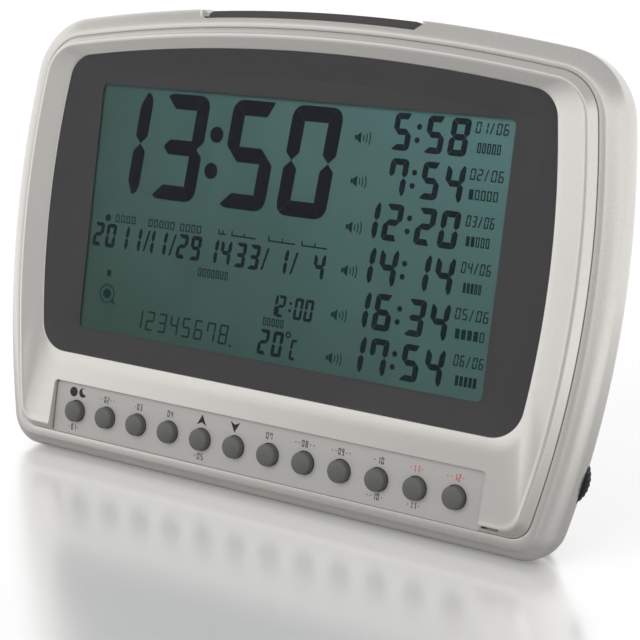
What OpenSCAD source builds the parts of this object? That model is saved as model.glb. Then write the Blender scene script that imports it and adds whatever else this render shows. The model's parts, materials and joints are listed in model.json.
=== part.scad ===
/* [Case] */
// Width of the case at its widest height
case_w = 219.2; // [206:0.1:226]
// Height of the case, measured along its leaning face
case_h = 149.4; // [142:0.1:156]
// Depth from the window's face to the flat of the back
case_d = 37; // [36:0.5:42]
// Wall thickness of the front housing and the back cover
wall = 2.2; // [1.8:0.1:2.6]
// Height above the case's bottom edge where the bowed sides are widest
widest_z = 79.1; // [74:0.1:84]
// Radius of the bowed sides
side_arch_r = 300; // [250:5:400]
// Radius of the arched top
top_arch_r = 600; // [500:10:800]
// Radius of the case's upper corners
top_corner_r = 21.5; // [17:0.5:23]
// Radius of the case's lower corners
bottom_corner_r = 11; // [10:0.5:14]
// Radius of the rounding round the front edge
front_round_r = 4.0; // [3.5:0.1:4.2]
// Depth of the straight wall between the two roundings
straight_d = 4.0; // [3.4:0.1:4.6]
// Radius of the rounding behind the widest line
rear_round_r = 12; // [11:0.5:13]
// Radius of the rounding at the edge of the back's flat
back_round_r = 9; // [6:0.5:10]
// Slope of the tapered back, from the way the case faces
taper_angle = 38; // [34:1:42]
// Share of that taper which the underside has
under_taper = 0.45; // [0.4:0.05:0.6]
// Depth of the seam between the front housing and the back cover
seam_y = 18; // [17:0.5:19]
// Width of the seam line
seam_gap = 0.3; // [0.2:0.05:0.4]
// How far the case leans back from upright, in degrees
lean = 12; // [8:0.5:15]

/* [Front panel] */
// Inset of the panel's groove at the sides
groove_side = 7.0; // [6.7:0.1:7.5]
// Inset of the panel's groove at the top
groove_top = 6.5; // [6.3:0.1:7.2]
// Inset of the panel's groove at the bottom
groove_low = 6.4; // [6:0.1:7]
// Radius of the groove's lower corners
groove_low_r = 6.3; // [5.5:0.1:7]
// Width of the groove between panel and housing
groove_gap = 0.3; // [0.2:0.05:0.4]
// Width of the panel's sloping rim
rim_w = 2.3; // [1.8:0.1:2.8]
// How far the ridge inside the rim stands forward of the window
ridge_proud = 1.3; // [0.8:0.1:1.6]
// How far the panel's lower edge stands forward of the window
chin_proud = 2.1; // [1.6:0.1:2.4]
// Depth of the groove below the window's face
rim_y = 1.1; // [0.9:0.1:1.4]
// Depth of the panel's back face
panel_back = 3.0; // [2.9:0.1:3.4]
// Radius of the panel's stake pins
stake_r = 1.0; // [0.8:0.1:1.2]
// Clearance round a stake pin
stake_gap = 0.05; // [0.03:0.01:0.1]
// Width of the pry slot beside the key strip
slot_w = 6.0; // [4:0.5:7]
// Height of the pry slot
slot_h = 0.5; // [0.4:0.1:0.8]

/* [Window] */
// Distance from the case's side to the dark window
window_side = 18.4; // [17.6:0.1:20.3]
// Height of the window's lower edge
window_low = 33.4; // [32.5:0.1:34.5]
// Distance from the case's top line to the window
window_head = 13.1; // [12.4:0.1:14.4]
// Radius of the window's upper corners
window_top_r = 9; // [7:0.5:11]
// Radius of the window's lower corners
window_low_r = 10; // [8:0.5:12]
// Thickness of the clear window
lens_t = 2.0; // [1.5:0.1:2.1]
// Thickness of the dark mask printed behind it
mask_t = 0.12; // [0.1:0.01:0.15]
// Clearance round the window in its rebate
lens_gap = 0.1; // [0.05:0.01:0.2]
// Width of the ledge that the window rests on
ledge_w = 2.5; // [2:0.1:3.5]

/* [Display] */
// Width of the dark mask beside the display
view_side = 15.75; // [14:0.05:18]
// Height of the dark mask above the display
view_head = 13.6; // [12:0.1:16]
// Height of the dark mask below the display
view_foot = 8.8; // [8:0.1:10]
// Radius of the mask opening's corners
view_r = 2; // [1:0.5:3]
// How far the display glass reaches past the view at each side
glass_side = 4.55; // [4.4:0.05:5]
// How far the display glass reaches past the view at top and bottom
glass_end = 5.25; // [5:0.05:5.5]
// Thickness of each display glass
glass_t = 1.1; // [0.7:0.1:1.2]
// Height of the contact ledge along the glass's long edges
contact_h = 3; // [2.5:0.1:3.5]
// Thickness of the polarising films
film_t = 0.2; // [0.15:0.01:0.25]
// Thickness of the foam gasket in front of the glass
gasket_t = 0.3; // [0.2:0.05:0.4]
// Thickness of the light guide
guide_t = 3.2; // [2.5:0.1:3.4]
// Thickness of the holder behind the light guide
holder_floor = 1.0; // [0.8:0.1:1.2]
// Width of the holder's rim round the glass
holder_rim = 3.5; // [3:0.1:3.6]
// Clearance between stacked display pieces
stack_gap = 0.05; // [0.03:0.01:0.1]

/* [Keys] */
// Number of keys
key_count = 12; // [6:2:12]
// Distance from the strip's end to the first key's centre
key_inset = 9.05; // [8:0.05:10]
// Diameter of a key cap
key_d = 6.8; // [6:0.1:7.2]
// Height of the row of keys
key_z = 14.5; // [14:0.1:15]
// How far a key's rim stands out of the strip
key_proud = 2.5; // [2:0.1:3]
// Height of the crown on a key's face
key_crown = 0.3; // [0.1:0.05:0.5]
// How far a key travels
key_travel = 0.8; // [0.5:0.1:0.9]
// Clearance round a key
key_gap = 0.25; // [0.15:0.05:0.35]
// Width of the flange that keeps a key in
key_flange = 0.8; // [0.6:0.1:1]
// Distance from the case's side to the key strip
strip_side = 29.6; // [29.1:0.1:31.3]
// Height of the key strip's upper edge
strip_top = 23.5; // [23:0.1:24]
// Thickness of the key strip
strip_t = 0.8; // [0.6:0.1:1]
// Depth of the key strip's face below the window's face
strip_y = 0.6; // [0.4:0.1:0.8]
// Clearance round the key strip in its recess
strip_gap = 0.3; // [0.2:0.05:0.4]
// Radius of the strip's upper corners
strip_r = 1.5; // [0.5:0.5:2.5]
// Thickness of the rubber mat under the keys
mat_t = 0.8; // [0.6:0.1:1]

/* [Snooze bar] */
// Width of the snooze bar
bar_w = 76.8; // [70:0.1:80]
// Depth of the bar's front face below the window's face
bar_front = 5.4; // [5.2:0.1:6]
// Size of the bar from front to back
bar_d = 9.2; // [8:0.1:9.4]
// How far the bar's crown lies below the case's top line
bar_drop = 0.5; // [0.3:0.1:0.8]
// How far the ledge in front of the bar lies below the top line
bar_ledge = 3.3; // [3:0.1:3.5]
// How far down the bar's body reaches below the top line
bar_body = 8.8; // [8.6:0.1:9.2]
// Clearance round the bar
bar_gap = 0.25; // [0.15:0.05:0.3]
// How far the bar travels
bar_travel = 1.2; // [0.8:0.1:1.4]
// How far the lips that keep the bar in reach past its ends
bar_lip = 1.0; // [0.7:0.1:1.1]
// Size of those lips from front to back
lip_l = 6.0; // [4:0.5:6.5]

/* [Volume wheel] */
// Radius of the volume wheel
wheel_r = 9.0; // [8.5:0.1:9.4]
// Thickness of the volume wheel
wheel_t = 3.0; // [2.5:0.1:3.1]
// Distance from the case's side to the wheel's axis
wheel_side = 13.7; // [13.4:0.1:14.2]
// Height of the wheel's axis
wheel_z = 25.1; // [24.4:0.05:25.8]
// Number of grooves round the wheel
wheel_teeth = 36; // [24:2:40]
// Depth of a groove in the wheel
wheel_groove = 0.4; // [0.2:0.1:0.5]
// Clearance round the wheel in its slot
wheel_gap = 0.4; // [0.3:0.1:0.6]
// Thickness of the volume control under the wheel
pot_t = 1.2; // [1:0.1:1.3]
// Radius of the wheel's spindle
spindle_r = 2.0; // [1.5:0.1:2.5]
// Running clearance round a spindle or hinge pin
run_gap = 0.05; // [0.03:0.01:0.08]

/* [Boards] */
// Thickness of a circuit board
board_t = 1.6; // [1.2:0.1:1.6]
// How far the main board reaches past the display holder
board_edge = 0.5; // [0.2:0.1:1]
// How far the main board's ears reach past its sides
ear_out = 5.5; // [5:0.1:6]
// Space between the lower case screws and the ears
ear_over = 14.5; // [12:0.5:17]
// Space between the ears and the upper case screws
ear_under = 10.5; // [8:0.5:14]
// Distance from an ear's end to its screw
ear_screw = 5.5; // [4.5:0.5:8]

/* [Stand] */
// Height of the stand's hinge
hinge_z = 66; // [63:0.5:68]
// Space between the stand's channel and the battery bay
leg_space = 2.8; // [2.2:0.1:5]
// Thickness of the stand leg
leg_t = 3.0; // [2.6:0.1:3.2]
// Length from the hinge to the middle of the leg's tip
leg_l = 62; // [61:0.5:66]
// Length of the heel above the hinge
heel_l = 3.0; // [2.5:0.1:3.2]
// Clearance round the stand leg
leg_gap = 0.3; // [0.2:0.05:0.4]
// Radius of the hinge pin
pin_r = 0.9; // [0.7:0.1:1]
// Radius of the rubber tip
tip_r = 2.6; // [2.4:0.1:3]
// How much of the rubber tip is cut away flat
tip_flat = 0.3; // [0.2:0.1:0.5]
// Radius of a rubber foot
foot_r = 3; // [2.5:0.5:3.5]
// Depth of the feet behind the window's face
foot_y = 14; // [13.5:0.5:14.5]
// How far the case's lower edge is held off the ground
foot_proud = 0.4; // [0.2:0.1:0.8]
// How deep a rubber foot is set in
foot_deep = 1.2; // [1:0.1:1.3]
// Distance between the rubber feet
foot_span = 140; // [120:1:150]

/* [Battery bay] */
// Diameter of a cell
cell_d = 14.2; // [14:0.1:14.4]
// Length of a cell without its nub
cell_l = 49.2; // [49:0.1:49.4]
// Length of the nub
nub_l = 1.0; // [0.8:0.1:1.2]
// Distance between cells
cell_pitch = 15; // [14.8:0.1:15.2]
// Distance from the case's side to the middle cell
bay_side = 55.6; // [55.3:0.1:56.3]
// Height of the middle of the bay
bay_z = 71; // [68:0.5:74]
// Space for the contact spring
spring_l = 7; // [6:0.5:8]
// Wall of the bay
bay_wall = 1.5; // [1.2:0.1:1.7]
// Thickness of the door
door_t = 2.0; // [1.6:0.1:2.2]
// Width of the ledge that the door rests on
door_ledge = 1.8; // [1.5:0.1:2]
// Clearance round the door
door_gap = 0.25; // [0.2:0.05:0.35]
// Radius of the door's hinge studs
stud_r = 0.7; // [0.5:0.05:0.8]
// Length of the door's hinge studs
stud_l = 1.2; // [1:0.1:1.5]

/* [Speaker] */
// Radius of the speaker's rim
speaker_r = 22.5; // [20:0.5:23]
// Distance from the case's side to the speaker's axis
speaker_side = 55.6; // [54.6:0.1:56.3]
// Height of the speaker
speaker_z = 71; // [66:0.5:76]
// Height of the speaker from rim to magnet
speaker_h = 15; // [12:0.5:16]
// Width of a slot in the grille
grille_slot = 1.8; // [1.2:0.1:2.4]
// Distance between slots in the grille
grille_pitch = 4.2; // [3.8:0.1:5]

/* [Screws] */
// Radius of a case screw's shank
screw_r = 1.3; // [1.1:0.1:1.4]
// Radius of a case screw's head
head_r = 2.8; // [2.5:0.1:2.9]
// Height of a case screw's head
head_h = 2.0; // [1.6:0.1:2.2]
// Distance from the case's side to the case screws
screw_side = 19.6; // [19.4:0.1:19.8]
// Height of the lower case screws
screw_low = 40; // [39.5:0.1:40.5]
// Distance from the case's top line to the upper case screws
screw_head = 37.4; // [35.4:0.1:39.4]
// Clearance round a screw's shank
screw_gap = 0.05; // [0.03:0.01:0.1]

/* [Hidden] */
$fn = 48;
far = 400;                       // larger than anything here, for cutting tools
bite = 0.5;                      // how far a boss is sunk into the wall that it grows from
corner_steps = 6;
arch_steps = 8;

// Places that follow the case's outline.
window_w = case_w - 2 * window_side;
window_top = case_h - window_head;
view_w = window_w - 2 * view_side;
view_low = window_low + view_foot;
view_top = window_top - view_head;
view_mid = (view_low + view_top) / 2;
glass_w = view_w + 2 * glass_side;
glass_low = view_low - glass_end;
glass_top = view_top + glass_end;
strip_w = case_w - 2 * strip_side;
key_pitch = (strip_w - 2 * key_inset) / (key_count - 1);
wheel_x = case_w / 2 - wheel_side;
bay_x = case_w / 2 - bay_side;
speaker_x = speaker_side - case_w / 2;
screw_x = case_w / 2 - screw_side;
screw_high = case_h - screw_head;

// Outlines seen from the front: x to the right, z up from the case's bottom edge.
function polar(r, a) = [r * cos(a), r * sin(a)];
function bearing(v) = atan2(v[1], v[0]);
// Where a circle about a meets a circle about b, on the right of the line from a to b.
function meet(a, ra, b, rb) =
  let (d = norm(b - a), u = (b - a) / d, s = (ra * ra - rb * rb + d * d) / (2 * d))
  a + u * s + [u[1], -u[0]] * sqrt(ra * ra - s * s);
function right_half(half, top, low, top_r, low_r, side_r, arch_r) =
  let (
    side_c = [half - side_r, widest_z],
    arch_c = [0, top - arch_r],
    low_c = [side_c[0] + sqrt(pow(side_r - low_r, 2) - pow(low + low_r - widest_z, 2)), low + low_r],
    top_c = meet(arch_c, arch_r - top_r, side_c, side_r - top_r),
    a0 = bearing(low_c - side_c),
    a1 = bearing(top_c - side_c),
    a2 = bearing(top_c - arch_c)
  ) concat(
    [for (i = [0:corner_steps]) low_c + polar(low_r, -90 + (a0 + 90) * i / corner_steps)],
    [for (i = [1:arch_steps]) side_c + polar(side_r, a0 + (a1 - a0) * i / arch_steps)],
    [for (i = [1:corner_steps]) top_c + polar(top_r, a1 + (a2 - a1) * i / corner_steps)],
    [for (i = [1:arch_steps]) arch_c + polar(arch_r, a2 + (90 - a2) * i / arch_steps)]
  );
function outline(half, top, low, top_r, low_r, side_r, arch_r) =
  let (right = right_half(half, top, low, top_r, low_r, side_r, arch_r), n = len(right))
  concat(right, [for (i = [n - 2:-1:0]) [-right[i][0], right[i][1]]]);

// The case's section: inset from the widest outline at a depth behind the window's face.
round_y = panel_back - 1.7 + front_round_r;          // depth where the front rounding ends
rear_y = round_y + straight_d;                       // depth where the rear rounding starts
front_y = round_y - front_round_r;                   // depth of the housing's front edge
taper_d = rear_round_r * (1 - cos(taper_angle));     // inset where the taper starts
taper_y = rear_y + rear_round_r * sin(taper_angle);
flat_y = case_d - back_round_r * (1 - sin(taper_angle));
function section_d(y) = y < rear_y ? 0
  : y < taper_y ? rear_round_r - sqrt(pow(rear_round_r, 2) - pow(y - rear_y, 2))
  : taper_d + (y - taper_y) * tan(taper_angle);
flat_d = section_d(flat_y) + back_round_r * cos(taper_angle);
seam_d = section_d(seam_y);
function low_d(d) = d < taper_d ? d : taper_d + (d - taper_d) * under_taper;
function case_corner(r, d, t) = max(max(r - d, r - groove_side) + max(0, d - seam_d) * 0.15 - t, 3);
// Ring of points at inset d and depth y, drawn in by t more.
function case_ring(d, y, t = 0) =
  [for (p = outline(case_w / 2 - d - t, case_h - d - t, low_d(d) + t, case_corner(top_corner_r, d, t),
    case_corner(bottom_corner_r, d, t), side_arch_r - d - t, top_arch_r - d - t)) [p[0], y, p[1]]];

// The panel's outlines, drawn in by t from its groove.
function panel_outline(t) = outline(case_w / 2 - groove_side - t, case_h - groove_top - t, groove_low + t,
  top_corner_r - groove_side - t, groove_low_r - t * 0.2, side_arch_r - groove_side - t,
  top_arch_r - groove_top - t);
function panel_ring(t, y) = [for (p = panel_outline(t)) [p[0], y, p[1]]];
// A panel ring whose lower stretch comes forward to the chin.
ridge_low = groove_low + rim_w;
function chin_share(z) = max(0, min(1, (window_low - z) / (window_low - ridge_low)));
function ridge_ring(t, sink) = [for (p = panel_outline(t))
  [p[0], sink - ridge_proud - (chin_proud - ridge_proud) * chin_share(p[1]), p[1]]];
function window_outline(t) = outline(window_w / 2 + t, window_top + t, window_low - t, window_top_r + t,
  window_low_r + t, side_arch_r - case_w / 2 + window_w / 2 + t, top_arch_r - case_h + window_top + t);
function window_ring(t, y) = [for (p = window_outline(t)) [p[0], y, p[1]]];

// Depths of the stacked pieces.
lens_back = lens_t + mask_t;
housing_back = panel_back + wall - 0.2;              // back of the housing's front wall
polariser_y = lens_back + gasket_t;
glass_y = polariser_y + film_t;
rear_glass_y = glass_y + glass_t;
reflector_y = rear_glass_y + glass_t;
guide_y = reflector_y + film_t + stack_gap;
holder_back = guide_y + guide_t + holder_floor + stack_gap;
board_y = holder_back + stack_gap;
board_back = board_y + board_t;
holder_half = glass_w / 2 + holder_rim;
holder_low = glass_low - holder_rim + 0.5;
holder_top = glass_top + holder_rim - 0.5;

key_flange_y = housing_back + 0.1;                   // front of the key's flange
key_end = key_flange_y + 1.0;                        // back of the key
key_top = key_end - strip_y + key_proud;             // length of a key, without its crown
mat_y = key_end + key_travel + 0.3;                  // front of the mat's sheet
key_board_y = mat_y + mat_t;
key_board_back = key_board_y + board_t;
key_board_low = 8.5;
key_board_top = 24;
function key_x(i) = (i - (key_count + 1) / 2) * key_pitch;
strip_low = groove_low + groove_gap;
key_screw_z = key_z + key_d / 2 + key_flange + 3.1;   // height of the screws between the keys
key_screw_x = strip_w / 2 + 1;
key_screws = [[-key_screw_x, key_z], [key_screw_x, key_z],
  [-3 * key_pitch, key_screw_z], [3 * key_pitch, key_screw_z]];

bar_back = bar_front + bar_d;
bar_half = bar_w / 2;
lip_back = bar_front + lip_l;
lip_d = wall + taper_d * (lip_back - rear_y) / (taper_y - rear_y) + 0.15;   // of a lip, below the top line
switch_body = 3.4;
button_d = bar_body + bar_travel + 0.05;             // how far down the switch's button lies
snooze_board_d = button_d + switch_body + 0.5;       // how far down the snooze board lies
snooze_half = 24;
spring_x = 31;
arch_sag = pow(spring_x + 2.5, 2) / (2 * (top_arch_r - bar_body));   // fall of the bar's underside there
shelf_d = snooze_board_d + board_t;

wheel_y = key_board_back + pot_t + 0.2;
pot_r = 6;

bay_half = cell_pitch + cell_d / 2 + 0.3;
channel_wall = 2.0;
channel_half = bay_x - bay_half - bay_wall - leg_space - channel_wall;
leg_w = 2 * (channel_half - leg_gap);
leg_y = case_d - leg_gap - leg_t / 2;                // depth of the stand's hinge
channel_y = leg_y - leg_t / 2 - leg_gap;
pocket_low = hinge_z - leg_t - 3;
pocket_top = hinge_z + heel_l + 0.6;

// The case leans back about its lower edge, on the feet and the stand's tip.
function stood_y(y, z) = y * cos(lean) + z * sin(lean);
function stood_z(y, z) = -y * sin(lean) + z * cos(lean);
low_y = rear_y + rear_round_r * sin(lean);           // the line on which the case would touch
low_z = rear_round_r * (1 - cos(lean));
ground = stood_z(low_y, low_z) - foot_proud;
tip_up = tip_r - tip_flat;                           // height of the tip's middle above the ground
hinge_up = stood_z(leg_y, hinge_z) - ground;
leg_tilt = acos((hinge_up - tip_up) / leg_l);        // of the leg, from upright
leg_swing = leg_tilt + lean;                         // of the leg, from folded
pocket_y = leg_y - leg_t / 2 * cos(leg_swing) - heel_l * sin(leg_swing) - 0.1;
front_most = stood_y(-chin_proud, ridge_low);
foot_z = low_d(section_d(foot_y));                   // height of the underside above the feet
foot_drop = stood_z(foot_y, foot_z) - ground;
rear_most = stood_y(leg_y, hinge_z) + leg_l * sin(leg_tilt) + tip_r;
tip_place = [0, leg_y + leg_l * sin(leg_swing), hinge_z - leg_l * cos(leg_swing)];

bay_len = cell_l + nub_l + spring_l + 0.8;
bay_low = bay_z - bay_len / 2;
bay_top = bay_z + bay_len / 2;
door_y = case_d - door_t;                            // depth of the door's inner face
cell_y = door_y - 0.3 - cell_d / 2;
bay_floor = cell_y - cell_d / 2 - 0.1;
door_half = bay_half + door_ledge - door_gap;
door_low = bay_low - door_ledge + door_gap;
door_top = bay_top + door_ledge - door_gap;
door_axis_y = case_d - door_t / 2;
door_axis_z = door_low + door_t / 2;
plate_t = 0.4;
plate_half = cell_pitch / 2 - 0.6;
lead_x = bay_half - 0.8;                             // where the leads run, from the bay's middle
lead_y = bay_floor + 3;
lead_r = 0.5;

inner_back = case_d - wall;                          // depth of the cover's inner flat
speaker_y = inner_back - speaker_h;                  // depth of the magnet's end
flange_t = 1.0;
speaker_screw_r = speaker_r + 2.4;
speaker_bearings = [90, 210, 330];

screw_seat = 18;                                     // depth of a case screw's seat
boss_end = screw_seat - 2.2;                         // depth of a housing boss's end
case_holes = [for (s = [-1, 1], z = [screw_low, screw_high]) [s * screw_x, z]];
board_half = holder_half + board_edge;
ear_low = screw_low + ear_over;
ear_top = screw_high - ear_under;
board_screw_x = board_half + ear_out - 2.5;
board_holes = [for (s = [-1, 1], z = [ear_low + ear_screw, ear_top - ear_screw]) [s * board_screw_x, z]];

module stand_up() translate([0, -(front_most + rear_most) / 2, -ground]) rotate([-lean, 0, 0]) children();
// A round bar along the depth, from y0 to y1.
module rod(at, r, y0, y1) translate([at[0], y0, at[1]]) rotate([-90, 0, 0]) cylinder(r = r, h = y1 - y0);
// A round bar across, from x0 to x1.
module rod_x(x0, x1, y, z, r) translate([x0, y, z]) rotate([0, 90, 0]) cylinder(r = r, h = x1 - x0);
// A box from x0 to x1, y0 to y1 and z0 to z1.
module box(x0, x1, y0, y1, z0, z1) translate([x0, y0, z0]) cube([x1 - x0, y1 - y0, z1 - z0]);
// A flat outline of x and z, made solid from y0 to y1.
module plate(y0, y1) translate([0, y1, 0]) rotate([90, 0, 0]) linear_extrude(height = y1 - y0) children();
module rounded(x0, x1, z0, z1, r) {
  translate([x0 + r, z0]) square([x1 - x0 - 2 * r, z1 - z0]);
  translate([x0, z0 + r]) square([x1 - x0, z1 - z0 - 2 * r]);
  for (x = [x0 + r, x1 - r], z = [z0 + r, z1 - r]) translate([x, z]) circle(r = r);
}
// A solid skin over rings of points; a loop joins the last ring to the first, else both ends are closed.
module skin(rings, loop = false) {
  m = len(rings);
  n = len(rings[0]);
  polyhedron([for (r = rings, p = r) p], concat(
    [for (i = [0:m - (loop ? 1 : 2)], j = [0:n - 1])
      let (k = (i + 1) % m, l = (j + 1) % n)
      loop ? [i * n + j, i * n + l, k * n + l, k * n + j] : [i * n + j, k * n + j, k * n + l, i * n + l]],
    loop ? [] : [[for (j = [0:n - 1]) j], [for (j = [n - 1:-1:0]) (m - 1) * n + j]]), convexity = 8);
}
// A profile of [inset below the top line, depth], swept along the arched top from -half to half.
module top_sweep(half, profile) {
  a = asin(half / top_arch_r);
  translate([0, 0, case_h - top_arch_r]) rotate([90, 0, 0]) rotate([0, 0, 90 - a])
    rotate_extrude(angle = 2 * a, $fn = 720) polygon([for (p = profile) [top_arch_r - p[0], -p[1]]]);
}
// A wire spring: one unbroken tube wound upwards round the z axis.
module coil(r0, r1, wire, turns, h) {
  steps = 12;
  sides = 6;
  n = steps * turns;
  lift = (h - 2 * wire) / n;
  skin([for (i = [0:n]) let (a = 360 * i / steps, r = r0 + (r1 - r0) * i / n)
    [for (j = [0:sides - 1]) let (b = -360 * j / sides)
      [(r + wire * cos(b)) * cos(a), (r + wire * cos(b)) * sin(a), wire + i * lift + wire * sin(b)]]]);
}
// A wire along a few straight runs.
module wire(points, r) {
  for (i = [0:len(points) - 2]) {
    run = points[i + 1] - points[i];
    slope = acos(run[2] / norm(run));
    translate(points[i]) rotate([0, slope, bearing(run)]) cylinder(r = r, h = norm(run), $fn = 16);
    if (i > 0) translate(points[i]) sphere(r = r * 1.4, $fn = 16);
  }
}

module front_panel() color([0.80, 0.79, 0.77]) stand_up() difference() {
  union() {
    skin([
      window_ring(lens_gap, lens_back),
      window_ring(lens_gap, 0),
      ridge_ring(rim_w + 0.7, 0.08),
      ridge_ring(rim_w, 0),
      ridge_ring(rim_w - 0.5, 0.25),
      panel_ring(groove_gap / 2 + 0.2, rim_y - 0.3),
      panel_ring(groove_gap / 2, rim_y),
      panel_ring(groove_gap / 2, panel_back),
      window_ring(-ledge_w, panel_back),
      window_ring(-ledge_w, lens_back)], true);
    for (p = stakes) rod(p, stake_r, panel_back - bite, housing_back);
    for (p = stakes) rod(p, stake_r * 1.8, housing_back, housing_back + 0.8);
  }
  plate(-far, strip_y + strip_t)
    rounded(-strip_w / 2 - strip_gap, strip_w / 2 + strip_gap, -5, strip_top + strip_gap, strip_r);
  for (i = [1:key_count]) rod([key_x(i), key_z], key_d / 2 + key_gap, 0, panel_back + 1);
  box(strip_w / 2 - 1, strip_w / 2 - 1 + slot_w, -far, strip_y + strip_t, ridge_low - slot_h, ridge_low);
}
stakes = concat(
  [for (s = [-1, 1], z = [55, 103]) [s * (case_w / 2 - groove_side - rim_w - 4.3), z]],
  [for (s = [-1, 1]) [s * 45, window_top + 0.9]],
  [for (s = [-1, 1]) [s * (case_w / 2 - 22.1), strip_top - 2.5]]);

module window_lens() color([0.35, 0.36, 0.36, 0.5]) stand_up()
  plate(0, lens_t) polygon(window_outline(0));

module window_mask() color([0.26, 0.26, 0.26]) stand_up() plate(lens_t, lens_back) difference() {
  polygon(window_outline(-0.5));
  rounded(-view_w / 2, view_w / 2, view_low, view_top, view_r);
}

module key_strip() color([0.65, 0.65, 0.63]) stand_up() plate(strip_y, strip_y + strip_t) difference() {
  union() {
    rounded(-strip_w / 2, strip_w / 2, strip_low, strip_top, strip_r);
    translate([-strip_w / 2, strip_low]) square([strip_w, strip_r]);
  }
  for (i = [1:key_count]) translate([key_x(i), key_z]) circle(r = key_d / 2 + key_gap);
}

module key_cap(i) color([0.37, 0.37, 0.37]) stand_up()
  translate([key_x(i), key_end, key_z]) rotate([90, 0, 0]) rotate_extrude() polygon(concat(
    [[0, 0], [key_d / 2 + key_flange, 0], [key_d / 2 + key_flange, key_end - key_flange_y],
     [key_d / 2, key_end - key_flange_y], [key_d / 2, key_top - 0.35], [key_d / 2 - 0.35, key_top]],
    [for (a = [3:-1:0]) [(key_d / 2 - 0.35) * a / 4, key_top + key_crown * (1 - pow(a / 4, 2))]]));

module key_mat() color([0.55, 0.55, 0.52]) stand_up() {
  half = key_x(key_count) + 5.5;
  box(-half, half, mat_y, key_board_y, key_z - 4.8, key_z + 4.8);
  for (i = [1:key_count]) translate([key_x(i), mat_y + 0.1, key_z]) rotate([90, 0, 0])
    cylinder(r1 = key_d / 2, r2 = key_d / 2 - 1, h = mat_y - key_end);
}

module key_board() color([0.10, 0.35, 0.20]) stand_up() difference() {
  union() {
    box(-key_screw_x - 3, wheel_x + 0.3, key_board_y, key_board_back, key_board_low, key_board_top);
    rod([wheel_x, wheel_z], pot_r, key_board_y, key_board_back);
  }
  for (p = key_screws) rod(p, screw_r + screw_gap, 0, far);
}

module key_ribbon() color([0.85, 0.85, 0.80]) stand_up() {
  turn = board_back + 3;
  box(-14, 14, key_board_back, key_board_back + 0.3, key_board_top - 3, key_board_top + 1.3);
  box(-14, 14, key_board_back, turn, key_board_top + 1, key_board_top + 1.3);
  box(-14, 14, turn - 0.3, turn, key_board_top + 1, holder_low + 6);
  box(-14, 14, board_back, turn, holder_low + 5.7, holder_low + 6);
}

module front_housing() color([0.74, 0.72, 0.70]) stand_up() difference() {
  union() {
    skin(concat(
      [panel_ring(8, housing_back - 0.1),
       panel_ring(8, panel_back + 0.1),
       panel_ring(-groove_gap / 2, panel_back + 0.1),
       panel_ring(-groove_gap / 2, front_y + 0.2),
       panel_ring(-groove_gap / 2 - 0.25, front_y)],
      [for (a = [90:-22.5:0]) case_ring(front_round_r * (1 - cos(a)), round_y - front_round_r * sin(a))],
      [for (k = [0:3]) let (a = taper_angle * k / 3)
        case_ring(rear_round_r * (1 - cos(a)), rear_y + rear_round_r * sin(a))],
      [case_ring(seam_d, seam_y),
       case_ring(seam_d, seam_y, wall),
       case_ring(taper_d, taper_y, wall),
       case_ring(0, rear_y, wall),
       case_ring(0, housing_back - 0.1, wall)]), true);
    plate(panel_back, housing_back) polygon(panel_outline(1.2));
    for (p = case_holes) rod(p, 3.5, housing_back - bite, boss_end);
    for (p = board_holes) rod(p, 2.4, housing_back - bite, board_y);
    for (p = key_screws) rod(p, 2.2, housing_back - bite, key_board_y);
    for (s = [-1, 1]) snooze_post(s);
  }
  plate(0, far) rounded(-glass_w / 2 - 1, glass_w / 2 + 1, glass_low - 0.7, glass_top + 0.7, 1.5);
  for (i = [1:key_count]) rod([key_x(i), key_z], key_d / 2 + key_gap, 0, housing_back + 1);
  for (p = stakes) rod(p, stake_r + stake_gap, 0, housing_back + 1);
  for (p = case_holes) rod(p, screw_r + screw_gap, housing_back + 1, far);
  for (p = concat(board_holes, key_screws)) rod(p, screw_r + screw_gap, housing_back - 1, far);
  top_sweep(bar_half + bar_gap,
    [[-20, -20], [bar_ledge, -20], [bar_ledge, bar_front + 1], [-20, bar_front + 1]]);
  top_sweep(bar_half + bar_gap, [[-20, bar_front - bar_gap], [bar_body, bar_front - bar_gap],
    [bar_body, bar_back + bar_gap], [-20, bar_back + bar_gap]]);
  rod([wheel_x, wheel_z], wheel_r + wheel_gap, wheel_y - wheel_gap, wheel_y + wheel_t + wheel_gap);
  feet(0.1);
}
// A post that carries one end of the snooze board and one spring.
module snooze_post(s) {
  top = case_h - shelf_d;
  box(min(s * (snooze_half - 4), s * (spring_x + 4)), max(s * (snooze_half - 4), s * (spring_x + 4)),
    housing_back - bite, bar_back, top - 1.3, top);
}

module display_gasket() color([0.15, 0.15, 0.15]) stand_up() plate(lens_back, polariser_y) difference() {
  rounded(-view_w / 2 - 3, view_w / 2 + 3, view_low - 3, view_top + 3, view_r);
  rounded(-view_w / 2 - 1, view_w / 2 + 1, view_low - 1, view_top + 1, view_r);
}
module film(y) box(-view_w / 2 - 3, view_w / 2 + 3, y, y + film_t, view_low - 2.2, view_top + 2.2);
module front_polariser() color([0.33, 0.45, 0.42, 0.5]) stand_up()
  film(polariser_y);
module front_glass() color([0.75, 0.85, 0.82, 0.4]) stand_up()
  box(-glass_w / 2, glass_w / 2, glass_y, rear_glass_y, glass_low, glass_top);
module rear_glass() color([0.70, 0.80, 0.78, 0.4]) stand_up()
  box(-glass_w / 2, glass_w / 2, rear_glass_y, reflector_y, glass_low + contact_h, glass_top - contact_h);
module rear_polariser() color([0.30, 0.42, 0.38]) stand_up()
  film(reflector_y);
module light_guide() color([0.85, 0.92, 0.90, 0.6]) stand_up()
  box(-view_w / 2 - 3, view_w / 2 + 3, guide_y, guide_y + guide_t, view_low - 2, view_top + 2);
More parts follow.
